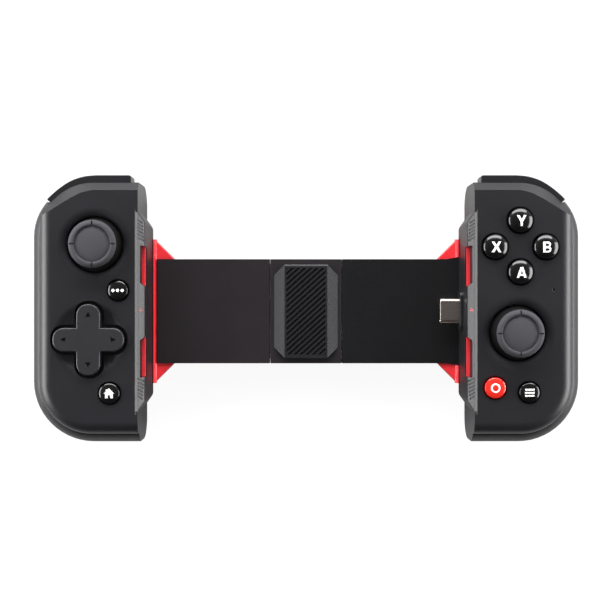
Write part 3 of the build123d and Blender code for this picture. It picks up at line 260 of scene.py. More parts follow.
def block(x0, x1, y0, y1, z0, z1):
    """Box between two opposite corners."""
    return prism([(x0, y0), (x1, y0), (x1, y1), (x0, y1)], z0, z1)


def square(x, y, half, z0, z1):
    """Upright square bar about (x, y)."""
    return block(x - half, x + half, y - half, y + half, z0, z1)


def turned(profile, x, y, count=72):
    """Mesh turned from an (r, z) line about the upright axis at (x, y)."""
    mesh = bmesh.new()
    spin = [(cos(tau * k / count), sin(tau * k / count)) for k in range(count)]
    rows = []
    for r, z in profile:
        if r < 1e-6:
            rows.append([mesh.verts.new((x, y, z))])
        else:
            rows.append([mesh.verts.new((x + r * c, y + r * s, z)) for c, s in spin])
    pairs = list(zip(rows, rows[1:]))
    if profile[0][0] > 1e-6 and profile[-1][0] > 1e-6:
        pairs.append((rows[-1], rows[0]))
    for low, high in pairs:
        for k in range(count):
            after = (k + 1) % count
            if len(low) == 1:
                mesh.faces.new((low[0], high[after], high[k]))
            elif len(high) == 1:
                mesh.faces.new((low[k], low[after], high[0]))
            else:
                mesh.faces.new((low[k], low[after], high[after], high[k]))
    bmesh.ops.recalc_face_normals(mesh, faces=mesh.faces)
    return mesh


def rod(x, y, z0, z1, r, count=48):
    """Upright round rod."""
    return turned([(0, z0), (r, z0), (r, z1), (0, z1)], x, y, count)


def rod_x(x0, x1, y, z, r, count=40):
    """Round rod along X."""
    ring = arc(y, z, r, 0, 360 - 360 / count, count - 1)
    return prism_x(ring, x0, x1)


def rod_y(x, y0, y1, z, r, count=40):
    """Round rod along Y."""
    ring = arc(x, z, r, 0, 360 - 360 / count, count - 1)
    return prism_y(ring, y0, y1)


def wire(points, r, count=8):
    """Round wire along a line of points."""
    line = [Vector(p) for p in points]
    mesh = bmesh.new()
    rows = []
    side = None
    for k, point in enumerate(line):
        ahead = (line[min(k + 1, len(line) - 1)] - line[max(k - 1, 0)]).normalized()
        side = ahead.orthogonal() if side is None else side - ahead * side.dot(ahead)
        side.normalize()
        other = ahead.cross(side)
        spin = [side * cos(tau * i / count) + other * sin(tau * i / count) for i in range(count)]
        rows.append([mesh.verts.new(point + out * r) for out in spin])
    for low, high in zip(rows, rows[1:]):
        for k in range(count):
            after = (k + 1) % count
            mesh.faces.new((low[k], low[after], high[after], high[k]))
    mesh.faces.new(rows[0][::-1])
    mesh.faces.new(rows[-1])
    bmesh.ops.recalc_face_normals(mesh, faces=mesh.faces)
    return mesh


def merged(*meshes):
    """Several meshes as one, without a union."""
    whole = bmesh.new()
    for part in meshes:
        data = bpy.data.meshes.new("part")
        part.to_mesh(data)
        part.free()
        whole.from_mesh(data)
        bpy.data.meshes.remove(data)
    return whole


# Objects


def as_object(shape, name="shape"):
    """Object that holds a mesh; an object is passed on as it is."""
    if isinstance(shape, bpy.types.Object):
        return shape
    data = bpy.data.meshes.new(name)
    shape.to_mesh(data)
    shape.free()
    obj = bpy.data.objects.new(name, data)
    bpy.context.scene.collection.objects.link(obj)
    return obj


def settle(obj):
    """Applies an object's modifiers to its mesh."""
    seen = obj.evaluated_get(bpy.context.evaluated_depsgraph_get())
    data = bpy.data.meshes.new_from_object(seen)
    if not data.polygons:
        raise RuntimeError(f"nothing is left of {obj.name}")
    old = obj.data
    obj.modifiers.clear()
    obj.data = data
    bpy.data.meshes.remove(old)


def carved(base, *steps):
    """Object made from a shape by unions (+), cuts (-) and common parts (&) with other shapes."""
    words = {"+": "UNION", "-": "DIFFERENCE", "&": "INTERSECT"}
    obj = as_object(base)
    tools = []
    for sign, shape in steps:
        tools.append(as_object(shape))
        change = obj.modifiers.new("carve", "BOOLEAN")
        change.operation = words[sign]
        change.solver = "MANIFOLD"
        change.object = tools[-1]
    settle(obj)
    for tool in tools:
        data = tool.data
        bpy.data.objects.remove(tool)
        bpy.data.meshes.remove(data)
    return obj


def round_edges(obj, width, angle=32, segments=2):
    """Bevels the edges of an object that are sharper than an angle."""
    bevel = obj.modifiers.new("edges", "BEVEL")
    bevel.width = width
    bevel.segments = segments
    bevel.limit_method = "ANGLE"
    bevel.angle_limit = radians(angle)
    bevel.use_clamp_overlap = True


def soft_shading(obj, angle=32):
    """Smooth shading that keeps the sharp edges and the flat faces."""
    data = obj.data
    mesh = bmesh.new()
    mesh.from_mesh(data)
    for face in mesh.faces:
        face.smooth = True
    for edge in mesh.edges:
        edge.smooth = edge.calc_face_angle(0) < radians(angle)
    mesh.to_mesh(data)
    mesh.free()
    normals = obj.modifiers.new("normals", "WEIGHTED_NORMAL")
    normals.keep_sharp = True
    normals.weight = 100


def dressed(shape, name, body, finish, nodes=(), side=RIGHT, edge=0.0):
    """Turns a shape in millimetres into a finished piece that rides on a body."""
    obj = as_object(shape)
    obj.name = name
    obj.data.name = name
    obj.data.transform(Matrix.Scale(MM, 4))
    if side == LEFT:
        obj.data.transform(Matrix.Scale(-1, 4, (1, 0, 0)))
        obj.data.flip_normals()
    if edge:
        round_edges(obj, edge)
        settle(obj)
    soft_shading(obj)
    obj.data.materials.clear()
    obj.data.materials.append(finish)
    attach(obj, body)
    if nodes:
        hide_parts(*nodes)
    return obj


def refined(node, finish, edge=0.2):
    """Shows a CAD node with welded seams, small rounded edges and a finish."""
    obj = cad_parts[node]
    weld = obj.modifiers.new("seams", "WELD")
    weld.merge_threshold = 0.002 * MM
    round_edges(obj, edge * MM, 40)
    normals = obj.modifiers.new("normals", "WEIGHTED_NORMAL")
    normals.weight = 100
    obj.data.materials.clear()
    obj.data.materials.append(finish)
    return obj


# Finishes


def add(tree, kind, settings=None, links=None):
    """Adds a node, sets its properties and its sockets, and links other nodes' outputs into it."""
    node = tree.nodes.new(kind)
    for key, value in (settings or {}).items():
        setattr(node, key, value)
    for key, value in (links or {}).items():
        if isinstance(value, bpy.types.NodeSocket):
            tree.links.new(value, node.inputs[key])
        else:
            node.inputs[key].default_value = value
    return node


def material_named(name):
    """A material that is made once: (material, its empty node tree or None if it is there)."""
    found = bpy.data.materials.get(name)
    if found:
        return found, None
    material = bpy.data.materials.new(name)
    material.use_nodes = True
    material.node_tree.nodes.clear()
    return material, material.node_tree


def moulded(name, colour, roughness, grain, depth, tone=0.12, spread=0.05, edge=0.0, **sockets):
    """A moulded plastic or rubber: a fine grain, and slow changes of tone and polish."""
    material, tree = material_named(name)
    if tree is None:
        return material
    where = add(tree, "ShaderNodeTexCoord").outputs["Object"]
    fine = add(tree, "ShaderNodeTexNoise", {}, {
        "Vector": where, "Scale": 1 / grain, "Detail": 3.0, "Roughness": 0.6})
    slow = add(tree, "ShaderNodeTexNoise", {}, {
        "Vector": where, "Scale": 1 / (14 * MM), "Detail": 2.0})
    light = tuple(min(1.0, c * (1 + tone) + 0.002) for c in colour)
    dark = tuple(c * (1 - tone) for c in colour)
    tint = add(tree, "ShaderNodeMix", {"data_type": "RGBA"}, {
        "Factor": slow.outputs["Fac"], 6: (*dark, 1), 7: (*light, 1)})
    polish = add(tree, "ShaderNodeMapRange", {}, {
        "Value": fine.outputs["Fac"], "From Min": 0.3, "From Max": 0.7,
        "To Min": max(0.02, roughness - spread), "To Max": roughness + spread})
    facing = {}
    if edge:
        facing["Normal"] = add(tree, "ShaderNodeBevel", {"samples": 6}, {"Radius": edge}).outputs[0]
    bump = add(tree, "ShaderNodeBump", {}, {
        "Height": fine.outputs["Fac"], "Distance": depth, "Strength": 0.6, **facing})
    shader = add(tree, "ShaderNodeBsdfPrincipled", {}, {
        "Base Color": tint.outputs[2], "Roughness": polish.outputs[0],
        "Normal": bump.outputs[0], **sockets})
    add(tree, "ShaderNodeOutputMaterial", {}, {"Surface": shader.outputs[0]})
    return material


def metal(name, colour, roughness, line, along, depth):
    """A metal with fine marks drawn out along one axis."""
    material, tree = material_named(name)
    if tree is None:
        return material
    where = add(tree, "ShaderNodeTexCoord").outputs["Object"]
    scale = [1 / line] * 3
    scale["XYZ".index(along)] = 1 / (line * 25)
    drawn = add(tree, "ShaderNodeMapping", {}, {"Vector": where, "Scale": scale})
    marks = add(tree, "ShaderNodeTexNoise", {}, {
        "Vector": drawn.outputs[0], "Scale": 1.0, "Detail": 3.0})
    polish = add(tree, "ShaderNodeMapRange", {}, {
        "Value": marks.outputs["Fac"], "To Min": roughness * 0.7, "To Max": roughness * 1.3})
    bump = add(tree, "ShaderNodeBump", {}, {
        "Height": marks.outputs["Fac"], "Distance": depth, "Strength": 0.4})
    shader = add(tree, "ShaderNodeBsdfPrincipled", {}, {
        "Base Color": (*colour, 1), "Metallic": 1.0, "Roughness": polish.outputs[0],
        "Normal": bump.outputs[0]})
    add(tree, "ShaderNodeOutputMaterial", {}, {"Surface": shader.outputs[0]})
    return material


def colours():
    """The colours set in the sidebar."""
    return bpy.context.scene.controller_colours


def shell_grain():
    """The grain size set in the sidebar."""
    return bpy.context.scene.controller_sizes.grain


def moulded_abs_shell():
    """Front and back shells, triggers and the plug's base."""
    # ABS from a spark-eroded mould: an even, fine grain that spreads each highlight. The real
    # grain of 0.1 mm is drawn at the grain size set in the sidebar, so that it shows.
    return moulded("moulded_abs_shell", colours().shell, roughness=0.4, grain=shell_grain(),
                   depth=0.012 * MM, edge=0.25 * MM, IOR=1.53)


def moulded_abs_bumper():
    """Bumpers."""
    # ABS in a deeper black with a little more polish, as keys have that fingers rub.
    return moulded("moulded_abs_bumper", linear("#131216"), roughness=0.36, grain=shell_grain(),
                   depth=0.008 * MM, edge=0.2 * MM, IOR=1.53)


def moulded_abs_left_sleeve_painted_reflection():
    """Left sleeve and the middle of the bridge."""
    # The same ABS with a soft sheen; its warm black is made lighter than the right sleeve's as
    # painted reflection.
    return moulded("moulded_abs_left_sleeve_painted_reflection", colours().left_bridge_painted_reflection, roughness=0.42,
                   grain=shell_grain() * 1.4, depth=0.008 * MM, IOR=1.53)


def moulded_abs_right_sleeve_painted_shade():
    """Right sleeve, and the strips inside the plug."""
    # As on the left, in a deeper black that is painted shade.
    return moulded("moulded_abs_right_sleeve_painted_shade", colours().right_bridge_painted_shade, roughness=0.38,
                   grain=shell_grain() * 1.4, depth=0.006 * MM, IOR=1.53)


def polished_abs_button():
    """Black buttons."""
    # ABS from a polished mould: clear, sharp reflections over a deep black.
    return moulded("polished_abs_button", colours().gloss, roughness=0.13, grain=1.2 * MM,
                   depth=0.001 * MM, tone=0.05, spread=0.02, IOR=1.55)


def polished_abs_red():
    """Red button."""
    # The same polish on a red that is dyed right through.
    return moulded("polished_abs_red", colours().app, roughness=0.15, grain=1.2 * MM,
                   depth=0.001 * MM, tone=0.04, spread=0.02, IOR=1.53)


def moulded_abs_pad():
    """Direction pad."""
    # Fine matt ABS: the face stays darker than the rounded edges.
    return moulded("moulded_abs_pad", linear("#222224"), roughness=0.36, grain=0.5 * MM,
                   depth=0.006 * MM, IOR=1.53)


def satin_polycarbonate_red():
    """Brackets."""
    # Dyed polycarbonate with a satin skin: light goes a little way in and softens the shade.
    return moulded("satin_polycarbonate_red", colours().accent, roughness=0.33, grain=0.6 * MM,
                   depth=0.004 * MM, tone=0.06, spread=0.04, IOR=1.58,
                   **{"Subsurface Weight": 0.12, "Subsurface Scale": 0.6 * MM})


def moulded_silicone_stick():
    """Thumb caps."""
    # Silicone rubber with a blasted skin: dull, and only a little lighter where it turns away.
    return moulded("moulded_silicone_stick", colours().rubber, roughness=0.72, grain=0.5 * MM,
                   depth=0.03 * MM, tone=0.1, spread=0.06, IOR=1.38)


def moulded_abs_skirt_painted_shade():
    """Skirts under the thumb caps."""
    # Nearly black ABS with weak, dull reflections: painted shade that keeps the well dark.
    return moulded("moulded_abs_skirt_painted_shade", linear("#060607"), roughness=0.85, grain=0.5 * MM,
                   depth=0.006 * MM, IOR=1.25)


def moulded_rubber_pad():
    """Ribbed pad on the bridge."""
    # Thermoplastic rubber: dark charcoal with a low sheen, so that its bevels catch the light.
    return moulded("moulded_rubber_pad", linear("#131216"), roughness=0.42, grain=0.6 * MM,
                   depth=0.01 * MM, IOR=1.52)


def moulded_acetal():
    """Rail, racks and pinion, and what the sticks and the pad tilt on."""
    # Natural acetal gear plastic: milky white with a waxy gloss.
    return moulded("moulded_acetal", linear("#DAD7CC"), roughness=0.34, grain=1.5 * MM,
                   depth=0.002 * MM, tone=0.04, IOR=1.48,
                   **{"Subsurface Weight": 0.2, "Subsurface Scale": 1.0 * MM})


def moulded_nylon_switch():
    """Switches."""
    # Glass-filled nylon: a dry, mottled grey.
    return moulded("moulded_nylon_switch", linear("#77797E"), roughness=0.55, grain=0.7 * MM,
                   depth=0.01 * MM, tone=0.18, IOR=1.53)


def smoked_lens():
    """Window of the charge lamp."""
    # Dark polycarbonate: glossy and nearly black.
    return moulded("smoked_lens", linear("#050506"), roughness=0.08, grain=1.0 * MM, depth=0.0,
                   tone=0.02, spread=0.01, IOR=1.58)


def pad_print_white():
    """Signs on the buttons."""
    # Pad-printed ink: flat white that covers fully, slightly dull.
    return moulded("pad_print_white", colours().sign, roughness=0.5, grain=0.8 * MM,
                   depth=0.001 * MM, tone=0.015, IOR=1.45)


def pad_print_red():
    """Marks on the wings."""
    # The same ink in the accent's red, thin enough to darken over black.
    return moulded("pad_print_red", linear("#C4504B"), roughness=0.5, grain=0.8 * MM,
                   depth=0.001 * MM, tone=0.1, IOR=1.45)


def nickel_plated_steel():
    """Shell and contacts of the plug, and the charging socket."""
    # Stamped steel under satin nickel: a warm grey with soft marks along the strip.
    return metal("nickel_plated_steel", linear("#B9AFA9"), roughness=0.3, line=0.35 * MM, along="X",
                 depth=0.002 * MM)


def drawn_steel():
    """Springs and pins."""
    # Drawn wire: bright, with fine lines along it.
    return metal("drawn_steel", linear("#B5B7BA"), roughness=0.26, line=0.3 * MM, along="X",
                 depth=0.002 * MM)


def pressed_steel():
    """Cans of the stick modules."""
    # Pressed tin-plated steel can: even and slightly cloudy.
    return metal("pressed_steel", linear("#A8ABAE"), roughness=0.38, line=0.8 * MM, along="Y",
                 depth=0.003 * MM)


def black_zinc_steel():
    """Screws."""
    # Steel under black zinc: dark, with a bluish gloss on the edges.
    return metal("black_zinc_steel", linear("#3B3C42"), roughness=0.34, line=0.3 * MM, along="Z",
                 depth=0.002 * MM)


def solder_masked_board():
    """Circuit boards."""
    # Green solder mask over copper tracks: raised, slightly lighter lines on a glossy green.
    material, tree = material_named("solder_masked_board")
    if tree is None:
        return material
    where = add(tree, "ShaderNodeTexCoord").outputs["Object"]
    # Tracks 0.4 mm wide on a 2.2 mm pitch.
    tracks = add(tree, "ShaderNodeTexBrick", {"offset": 0.35, "squash": 1.0}, {
        "Vector": where, "Scale": 1 / (4.4 * MM), "Mortar Size": 0.045, "Mortar Smooth": 0.2,
        "Color1": (0, 0, 0, 1), "Color2": (0, 0, 0, 1), "Mortar": (1, 1, 1, 1)})
    tint = add(tree, "ShaderNodeMix", {"data_type": "RGBA"}, {
        "Factor": tracks.outputs["Color"], 6: (*linear("#14532B"), 1), 7: (*linear("#2F7F45"), 1)})
    bump = add(tree, "ShaderNodeBump", {}, {
        "Height": tracks.outputs["Color"], "Distance": 0.035 * MM, "Strength": 0.7})
    shader = add(tree, "ShaderNodeBsdfPrincipled", {}, {
        "Base Color": tint.outputs[2], "Roughness": 0.32, "IOR": 1.5, "Normal": bump.outputs[0]})
    add(tree, "ShaderNodeOutputMaterial", {}, {"Surface": shader.outputs[0]})
    return material


# Shells


def grip_outline(x_in, side, head, steps=14):
    """Outline of a back shell with its side and head moved in."""
    x_out, low, top = BACK_OUTER - side, BACK_LOW + side, HEAD - head
    r_low, r_top = BACK_LOW_R - side, BACK_HEAD_R - head
    return [(x_in, low), *arc(x_out - r_low, low + r_low, r_low, -90, 0, steps),
            *arc(x_out - r_top, top - r_top, r_top, 0, 90, steps), (x_in, top)]


def foot_outline(inset):
    """Outline of the rolled side and foot of a front shell; it runs on past the head."""
    x_out, low, r = FRONT_OUTER - inset, FRONT_LOW + inset, FRONT_LOW_R - inset
    return [(INNER, low), *arc(x_out - r, low + r, r, -90, 0, 20), (x_out, FAR), (INNER, FAR)]


def side_outline():
    """Outline of a front shell's side where it turns in at the head corner."""
    top, r, last = SIDE_TURN
    cx, cy = FRONT_OUTER - r, top - r
    turn = arc(cx, cy, r, 0, last, 10)
    ex, ey = turn[-1][0] - 20 * sin(radians(last)), turn[-1][1] + 20 * cos(radians(last))
    return [(INNER - 1, -FAR), (FRONT_OUTER, -FAR), *turn, (ex, ey), (INNER - 1, ey)]


def head_outline(share):
    """Outline of a front shell's head between the chamfer's outer edge (0) and inner edge (1)."""
    top, r, first = HEAD_TURN
    outer = arc(FRONT_OUTER - r, top - r, r, first, 90, 20)
    (ex, ey), angle = outer[0], radians(first)
    outer.insert(0, (ex + 20 * sin(angle), ey - 20 * cos(angle)))
    inner = smooth_line([(83.2, 32.3), (79.6, 34.6), (76.3, 36.5), (73.2, 38.0), (69.5, 38.9)], 5)
    inner.insert(0, (103.2, 19.8))
    turn = [(a + (c - a) * share, b + (d - b) * share) for (a, b), (c, d) in zip(outer, inner)]
    return [(INNER - 1, -FAR), (turn[0][0], -FAR), *turn, (INNER - 1, turn[-1][1])]


def front_form():
    """Outside of a front shell: a soft roll along side and foot, a crisp chamfer at the head."""
    rolls = [(SEAM, 0.0)]
    for k in range(13):
        turn = radians(7.5 * k)
        rolls.append((27.5 + 3.5 * sin(turn), 4.0 * (1 - cos(turn))))
    body = ring_solid([at_level(foot_outline(inset), z) for z, inset in rolls])
    side = prism(side_outline(), SEAM - 1, FACE + 1)
    head = ring_solid([at_level(head_outline(share), z)
                       for z, share in ((SEAM - 1, 0), (28.0, 0), (28.25, 0.05), (30.75, 0.93),
                                        (31.1, 1.02))])
    top = block(INNER - 2, FAR * 2, -FAR, FAR * 2, SEAM - 2, FACE)
    return carved(body, ("&", side), ("&", head), ("&", top))


def wing_half(x):
    """Half the wing's length, which grows towards its root."""
    return WING_ROOT_HALF + WING_SLOPE * (x - WING_ROOT)


def wing_ring(x, z):
    """Plan of the wing at one level, with its two free corners rounded."""
    back = INNER + SHELL_WALL
    r, turn = 2.6, 35.1
    reach = r * sin(radians(turn / 2)) / cos(radians(turn / 2))
    high = BRIDGE_Y + wing_half(x) - reach
    low = BRIDGE_Y - wing_half(x) + reach
    upper = arc(x + r, high, r, 180, 180 - turn, 6)
    lower = arc(x + r, low, r, 180 + turn, 180, 6)
    root = [(back, BRIDGE_Y + wing_half(back)), (back, BRIDGE_Y - wing_half(back))]
    return at_level([*root, *lower, *upper][::-1], z)


def wing():
    """Wing on the phone side, with the two windows that show the bracket behind it."""
    levels = ((51.6, 11.5), (52.05, 18.0), (52.66, 27.0), (52.74, 27.9), (52.98, 28.3),
              (BEVEL_TOP_X, BEVEL_TOP_Z), (55.9, FACE))
    body = ring_solid([wing_ring(x, z) for x, z in levels])
    behind = block(INNER - 0.05, 60, -50, 50, 10, SEAM)
    pocket = block(52.7, INNER, BRIDGE_Y - 23.4, BRIDGE_Y + 23.4, 11, 26.2)
    steps = [("-", behind), ("-", pocket)]
    for way in (1, -1):
        near, far = BRIDGE_Y + way * SLOT_NEAR, BRIDGE_Y + way * SLOT_FAR
        rings = []
        for z, x in ((24.6, 53.75), (25.95, 53.8), (FACE + 1, 54.55)):
            outline = [(SLOT_X, near), (x, near + way * (x - SLOT_X) * 0.75), (x, far),
                       (SLOT_X, far - way * 0.4)]
            if way < 0:
                outline.reverse()
            rings.append(at_level(rounded(outline, 0.2, 3), z))
        steps.append(("-", ring_solid(rings)))
    return carved(body, *steps)


def bevel_height(x):
    """Level of the wing's bevel."""
    return BEVEL_TOP_Z + (x - BEVEL_TOP_X) * BEVEL_SLOPE


def bevel_cut():
    """What lies above the wing's bevel, so that the bevel runs on to the face."""
    rings = []
    for x, z in ((52.9, 28.3), (55.55, 30.84), (55.95, 31.1)):
        half, far = wing_half(x), wing_half(50.0)
        rings.append(at_level([(50.0, BRIDGE_Y - far), (x, BRIDGE_Y - half), (x, BRIDGE_Y + half),
                               (50.0, BRIDGE_Y + far)], z))
    return ring_solid(rings)


def hatch_cuts():
    """Short slanted grooves in the wing's bevel beyond its windows."""
    first, pitch, slant, wide, deep = 23.0, 1.15, 0.9, 0.45, 0.22
    cuts = []
    for way in (1, -1):
        for k in range(6):
            y = BRIDGE_Y + way * (first + pitch * k)
            near, far = 53.1 + 0.1 * k, 54.9
            line = [(near, y), (far, y + slant), (far, y + slant + wide), (near, y + wide)]
            low = [(px, py, bevel_height(px) - deep) for px, py in line]
            cuts.append(ring_solid([low, at_level(line, 33.0)]))
    return cuts


def stick_well(x, y):
    """Round opening under a thumb stick, with a wide rim that flows into the face."""
    rim = [(9.25, 29.2), (9.45, 29.75), (9.85, 30.25), (10.4, 30.62), (11.0, 30.86), (11.7, 30.98),
           (12.3, 31.001), (12.3, OVER)]
    return turned([(0, UNDER), (9.25, UNDER), *rim, (0, OVER)], x, y, 96)


def button_hole(x, y, r):
    """Round hole for a button with a broken edge."""
    gap = r + 0.35
    return turned([(0, UNDER), (gap, UNDER), (gap, 30.55), (gap + 0.1, 30.82),
                   (gap + 0.32, 31.001), (gap + 0.32, OVER), (0, OVER)], x, y, 72)


def cross_outline(span, arm, r):
    """Outline of a cross with round arm ends."""
    line = [*arc(span - r, -(arm - r), r, -90, 0, 8), *arc(span - r, arm - r, r, 0, 90, 8),
            (arm, arm)]
    return [point for quarter in range(4) for point in spun(line, 90 * quarter)]


def pad_dish(x, y):
    """Shallow bowl round the direction pad."""
    r, deep = 12.4, 2.3
    bowl = [(r * k / 8, FACE - deep * (1 - (k / 8) ** 2)) for k in range(9)]
    return turned([*bowl, (r + 0.2, FACE + 0.02), (r + 0.2, OVER), (0, OVER)], x, y, 96)


def port_pocket():
    """Shallow pocket and opening for the charging socket."""
    pocket = block(PORT_X - 7, PORT_X + 7, BACK_LOW - 1, BACK_LOW + 0.4, PORT_Z - 4.2, PORT_Z + 4.2)
    return pocket, stadium_y(8.94, 3.26, BACK_LOW - 1, BACK_LOW + 3.6, PORT_X, PORT_Z)


def stadium(width, height, steps=12):
    """Round-ended outline about its own middle."""
    r = height / 2
    flat = width / 2 - r
    return [*arc(flat, 0, r, -90, 90, steps), *arc(-flat, 0, r, 90, 270, steps)]


def stadium_y(width, height, y0, y1, x, z):
    """Bar along Y with a round-ended section."""
    return prism_y([(x + a, z + b) for a, b in stadium(width, height)], y0, y1)


def bumper_window(z0, z1):
    """Opening for a bumper in the head wall; its outer end runs along the bumper's own end."""
    turn, room = radians(42), 1.1
    cx, cy = BEND_X + room * sin(turn), BEND_Y - room * cos(turn)
    ends = [(cx + (y - cy) * cos(turn) / sin(turn), y) for y in (32.3, 44.5)]
    return prism([(56.8, 32.3), *ends, (56.8, 44.5)], z0, z1)


def front_cover(side):
    """Front shell of one grip."""
    wall, r_low, r_head = FACE_WALL, FRONT_LOW_R, HEAD_TURN[1]
    plan = [(INNER + SHELL_WALL, FRONT_LOW + wall),
            *arc(FRONT_OUTER - r_low, FRONT_LOW + r_low, r_low - wall, -90, 0, 14),
            *arc(FRONT_OUTER - r_head, HEAD - r_head, r_head - wall, 0, 90, 14),
            (INNER + SHELL_WALL, HEAD - wall)]
    steps = [("-", prism(plan, SEAM - 1, FACE - wall))]
    for x, y in POSTS:
        steps.append(("+", square(x, y, POST_HALF, 20.2, 29.2)))
    steps.append(("+", square(STUD_X, STUD_Y, POST_HALF, 28.2, 29.2)))
    steps.append(("-", bumper_window(SEAM - 1, 28.2)))
    steps.append(("-", rod(STUD_X, STUD_Y, 28, 29.65, 0.96)))
    steps.append(("-", bevel_cut()))
    steps.append(("+", wing()))
    steps += [("-", cut) for cut in hatch_cuts()]
    steps.append(("-", stick_well(*STICKS[side])))
    for where, x, y, r, *_ in BUTTONS.values():
        if where == side:
            steps.append(("-", button_hole(x, y, r)))
    if side == LEFT:
        steps.append(("-", pad_dish(*PAD_XY)))
        opening = moved(cross_outline(PAD_SPAN + 1.0, PAD_ARM + 1.0, 4.4), *PAD_XY)
        steps.append(("-", prism(opening, UNDER, OVER)))
    else:
        steps.append(("-", rod(*LAMP_XY, UNDER, OVER, 0.45, 24)))
        steps.append(("-", plug_seat(50, 57)))
    return carved(front_form(), *steps)


def plug_seat(x0, x1):
    """Round-cornered block in the wing where the plug's base sits."""
    corners = [(-7.0, 13.0), (5.8, 13.0), (5.8, 20.8), (-7.0, 20.8)]
    return prism_x(rounded(corners, 1.6, 5), x0, x1)


def back_cover(side):
    """Back shell of one grip: a rounded underside that draws in again towards the seam."""
    rings = []
    for k in range(10):
        turn = radians(10 * k)
        rings.append((10 - 10 * cos(turn), 7 * (1 - sin(turn)), 6.8 * (1 - sin(turn))))
    last = radians(48)
    for k in range(10):
        turn = last * k / 9
        rings.append((20.5 + 5 * sin(turn) / sin(last), 2.6 * (1 - cos(turn)) / (1 - cos(last)), 0))
    body = ring_solid([at_level(grip_outline(INNER, s, h), z) for z, s, h in rings])
    inside = ring_solid([at_level(grip_outline(INNER + SHELL_WALL, s, h), z)
                         for z, s, h in ((1.8, 7.4, 7.2), (3.2, 4.8, 4.8), (8, 1.8, 1.8),
                                         (19.5, 1.8, 1.8), (24.0, 3.6, 1.8), (26.0, 5.6, 1.8))])
    steps = [("-", inside)]
    for x, y in POSTS:
        steps.append(("+", square(x, y, POST_HALF, 1.2, 19.0)))
    steps.append(("-", bumper_window(16.7, 27)))
    left, right = TRIGGER_X
    steps.append(("-", block(left - 0.3, right + 0.3, 31.6, 43.5, 2.5, 15.2)))
    ledge = ring_solid([at_level(grip_outline(56.0, 0.1, 0.1), z) for z in (15.25, 16.75)])
    ledge = carved(ledge, ("&", block(56.6, 88.0, 33.6, 41.0, 14, 18)))
    steps.append(("+", ledge))
    for x0 in (left - 1.8, right + 0.3):
        inward = ring_solid([at_level(grip_outline(INNER, 3.5, 3.5), z) for z in (1.5, 15.5)])
        steps.append(("+", carved(block(x0, x0 + 1.5, 31.4, 38.2, 1.5, 15.5), ("&", inward))))
    steps.append(("+", block(68.2, 75.8, 30.6, 32.2, 1.5, 9.8)))
    steps.append(("-", rod_x(left - 1.8, right + 1.8, PIN_Y, PIN_Z, 1.0)))
    steps.append(("-", rod(STUD_X, STUD_Y, 15, 17, 0.96)))
    recess = [(0, -1), (2.0, -1), (2.0, 0), (1.75, 0.3), (1.75, 1.2), (0, 1.2)]
    for x, y in POSTS:
        steps.append(("-", turned(recess, x, y, 40)))
    steps.append(("-", block(INNER - 1, INNER + 1.85, BRIDGE_Y - 17.6, BRIDGE_Y + 17.6, 4.0, 10.9)))
    if side == RIGHT:
        steps.append(("-", plug_seat(50, 57.4)))
        steps += [("-", cut) for cut in port_pocket()]
    return carved(body, *steps)


# Moving pieces


def bumper_form(edge):
    """Bent strip along the head, with its outer end cut at a slant, its stud and its lug."""
    top, strip = BEND_Y + BEND_OUTER_R, BEND_Y + BEND_INNER_R
    line = smooth_line([(84.95, 35.9), (83.6, 37.3), (80.7, 39.75), (77.1, 42.05), (73.0, 43.45),
                        (BEND_X, top)], 4)
    plan = [(60.8, 35.0), (60.8, strip), *arc(BEND_X, BEND_Y, BEND_INNER_R, 90, 41.5, 14), *line,
            (57.75, top), (57.3, top - 0.5), (57.3, 35.0)]
    body = as_object(prism(plan[::-1], 17.0, 27.9))
    round_edges(body, edge, 35)
    settle(body)
    stud = rod(STUD_X, STUD_Y, 15.5, 29.6, 0.9)
    return carved(body, ("+", stud), ("+", block(71.5, 74.5, 34.6, strip + 0.5, 20.8, 22.6)))


def trigger_form():
    """Curved lever on a barrel that follows the round head corner."""
    left, right = TRIGGER_X
    face = smooth_line([(43.5, 14.8), (43.3, 11.5), (42.6, 8.4), (41.3, 5.8), (39.4, 4.1)], 6)
    profile = [(37.5, 14.8), *face, (36.4, 4.0), (36.2, 8.0), (34.6, 10.4), (34.6, 14.6)]
    lever = carved(prism_x(profile, left, right), ("+", rod_x(left, right, PIN_Y, PIN_Z, 2.2)))
    reach = [(left, 30), (right, 30), (right, 37.3), *arc(BEND_X, BEND_Y, 21.6, 46, 90, 20),
             (left, 43.6)]
    lever = carved(lever, ("&", prism(reach, 0, 15.2)))
    return carved(lever, ("-", rod_x(left - 1, right + 1, PIN_Y, PIN_Z, 1.06)))


def stick_form(x, y):
    """Thumb cap on its neck: a rolled rim with four notches round a slightly domed disc."""
    disc = [(0, 37.86), (1.5, 37.82), (3.0, 37.71), (4.2, 37.55), (5.0, 37.38), (5.5, 37.24),
            (5.78, 37.17)]
    rim = [(5.87, 37.25), (5.91, 37.6), (5.99, 37.85), (6.18, 37.97), (6.45, 38.0), (6.8, 37.92),
           (7.15, 37.73), (7.48, 37.42), (7.68, 37.0), (7.75, 36.6), (7.72, 36.1), (7.5, 35.7),
           (7.1, 35.45), (6.5, 35.3)]
    neck = [(5.0, 35.1), (4.4, 34.8), (4.2, 34.2), (4.25, 32.0), (0, 32.0)]
    notch = [(5.7, -0.24), (7.35, -0.24), (7.35, 0.24), (5.7, 0.24)]
    steps = [("-", prism(moved(spun(notch, 90 * k), x, y), 37.1, 39)) for k in range(4)]
    steps.append(("-", square(x, y, SHAFT_HALF, SHAFT_LOW, SHAFT_TOP)))
    return carved(turned([*disc, *rim, *neck], x, y, 96), *steps)


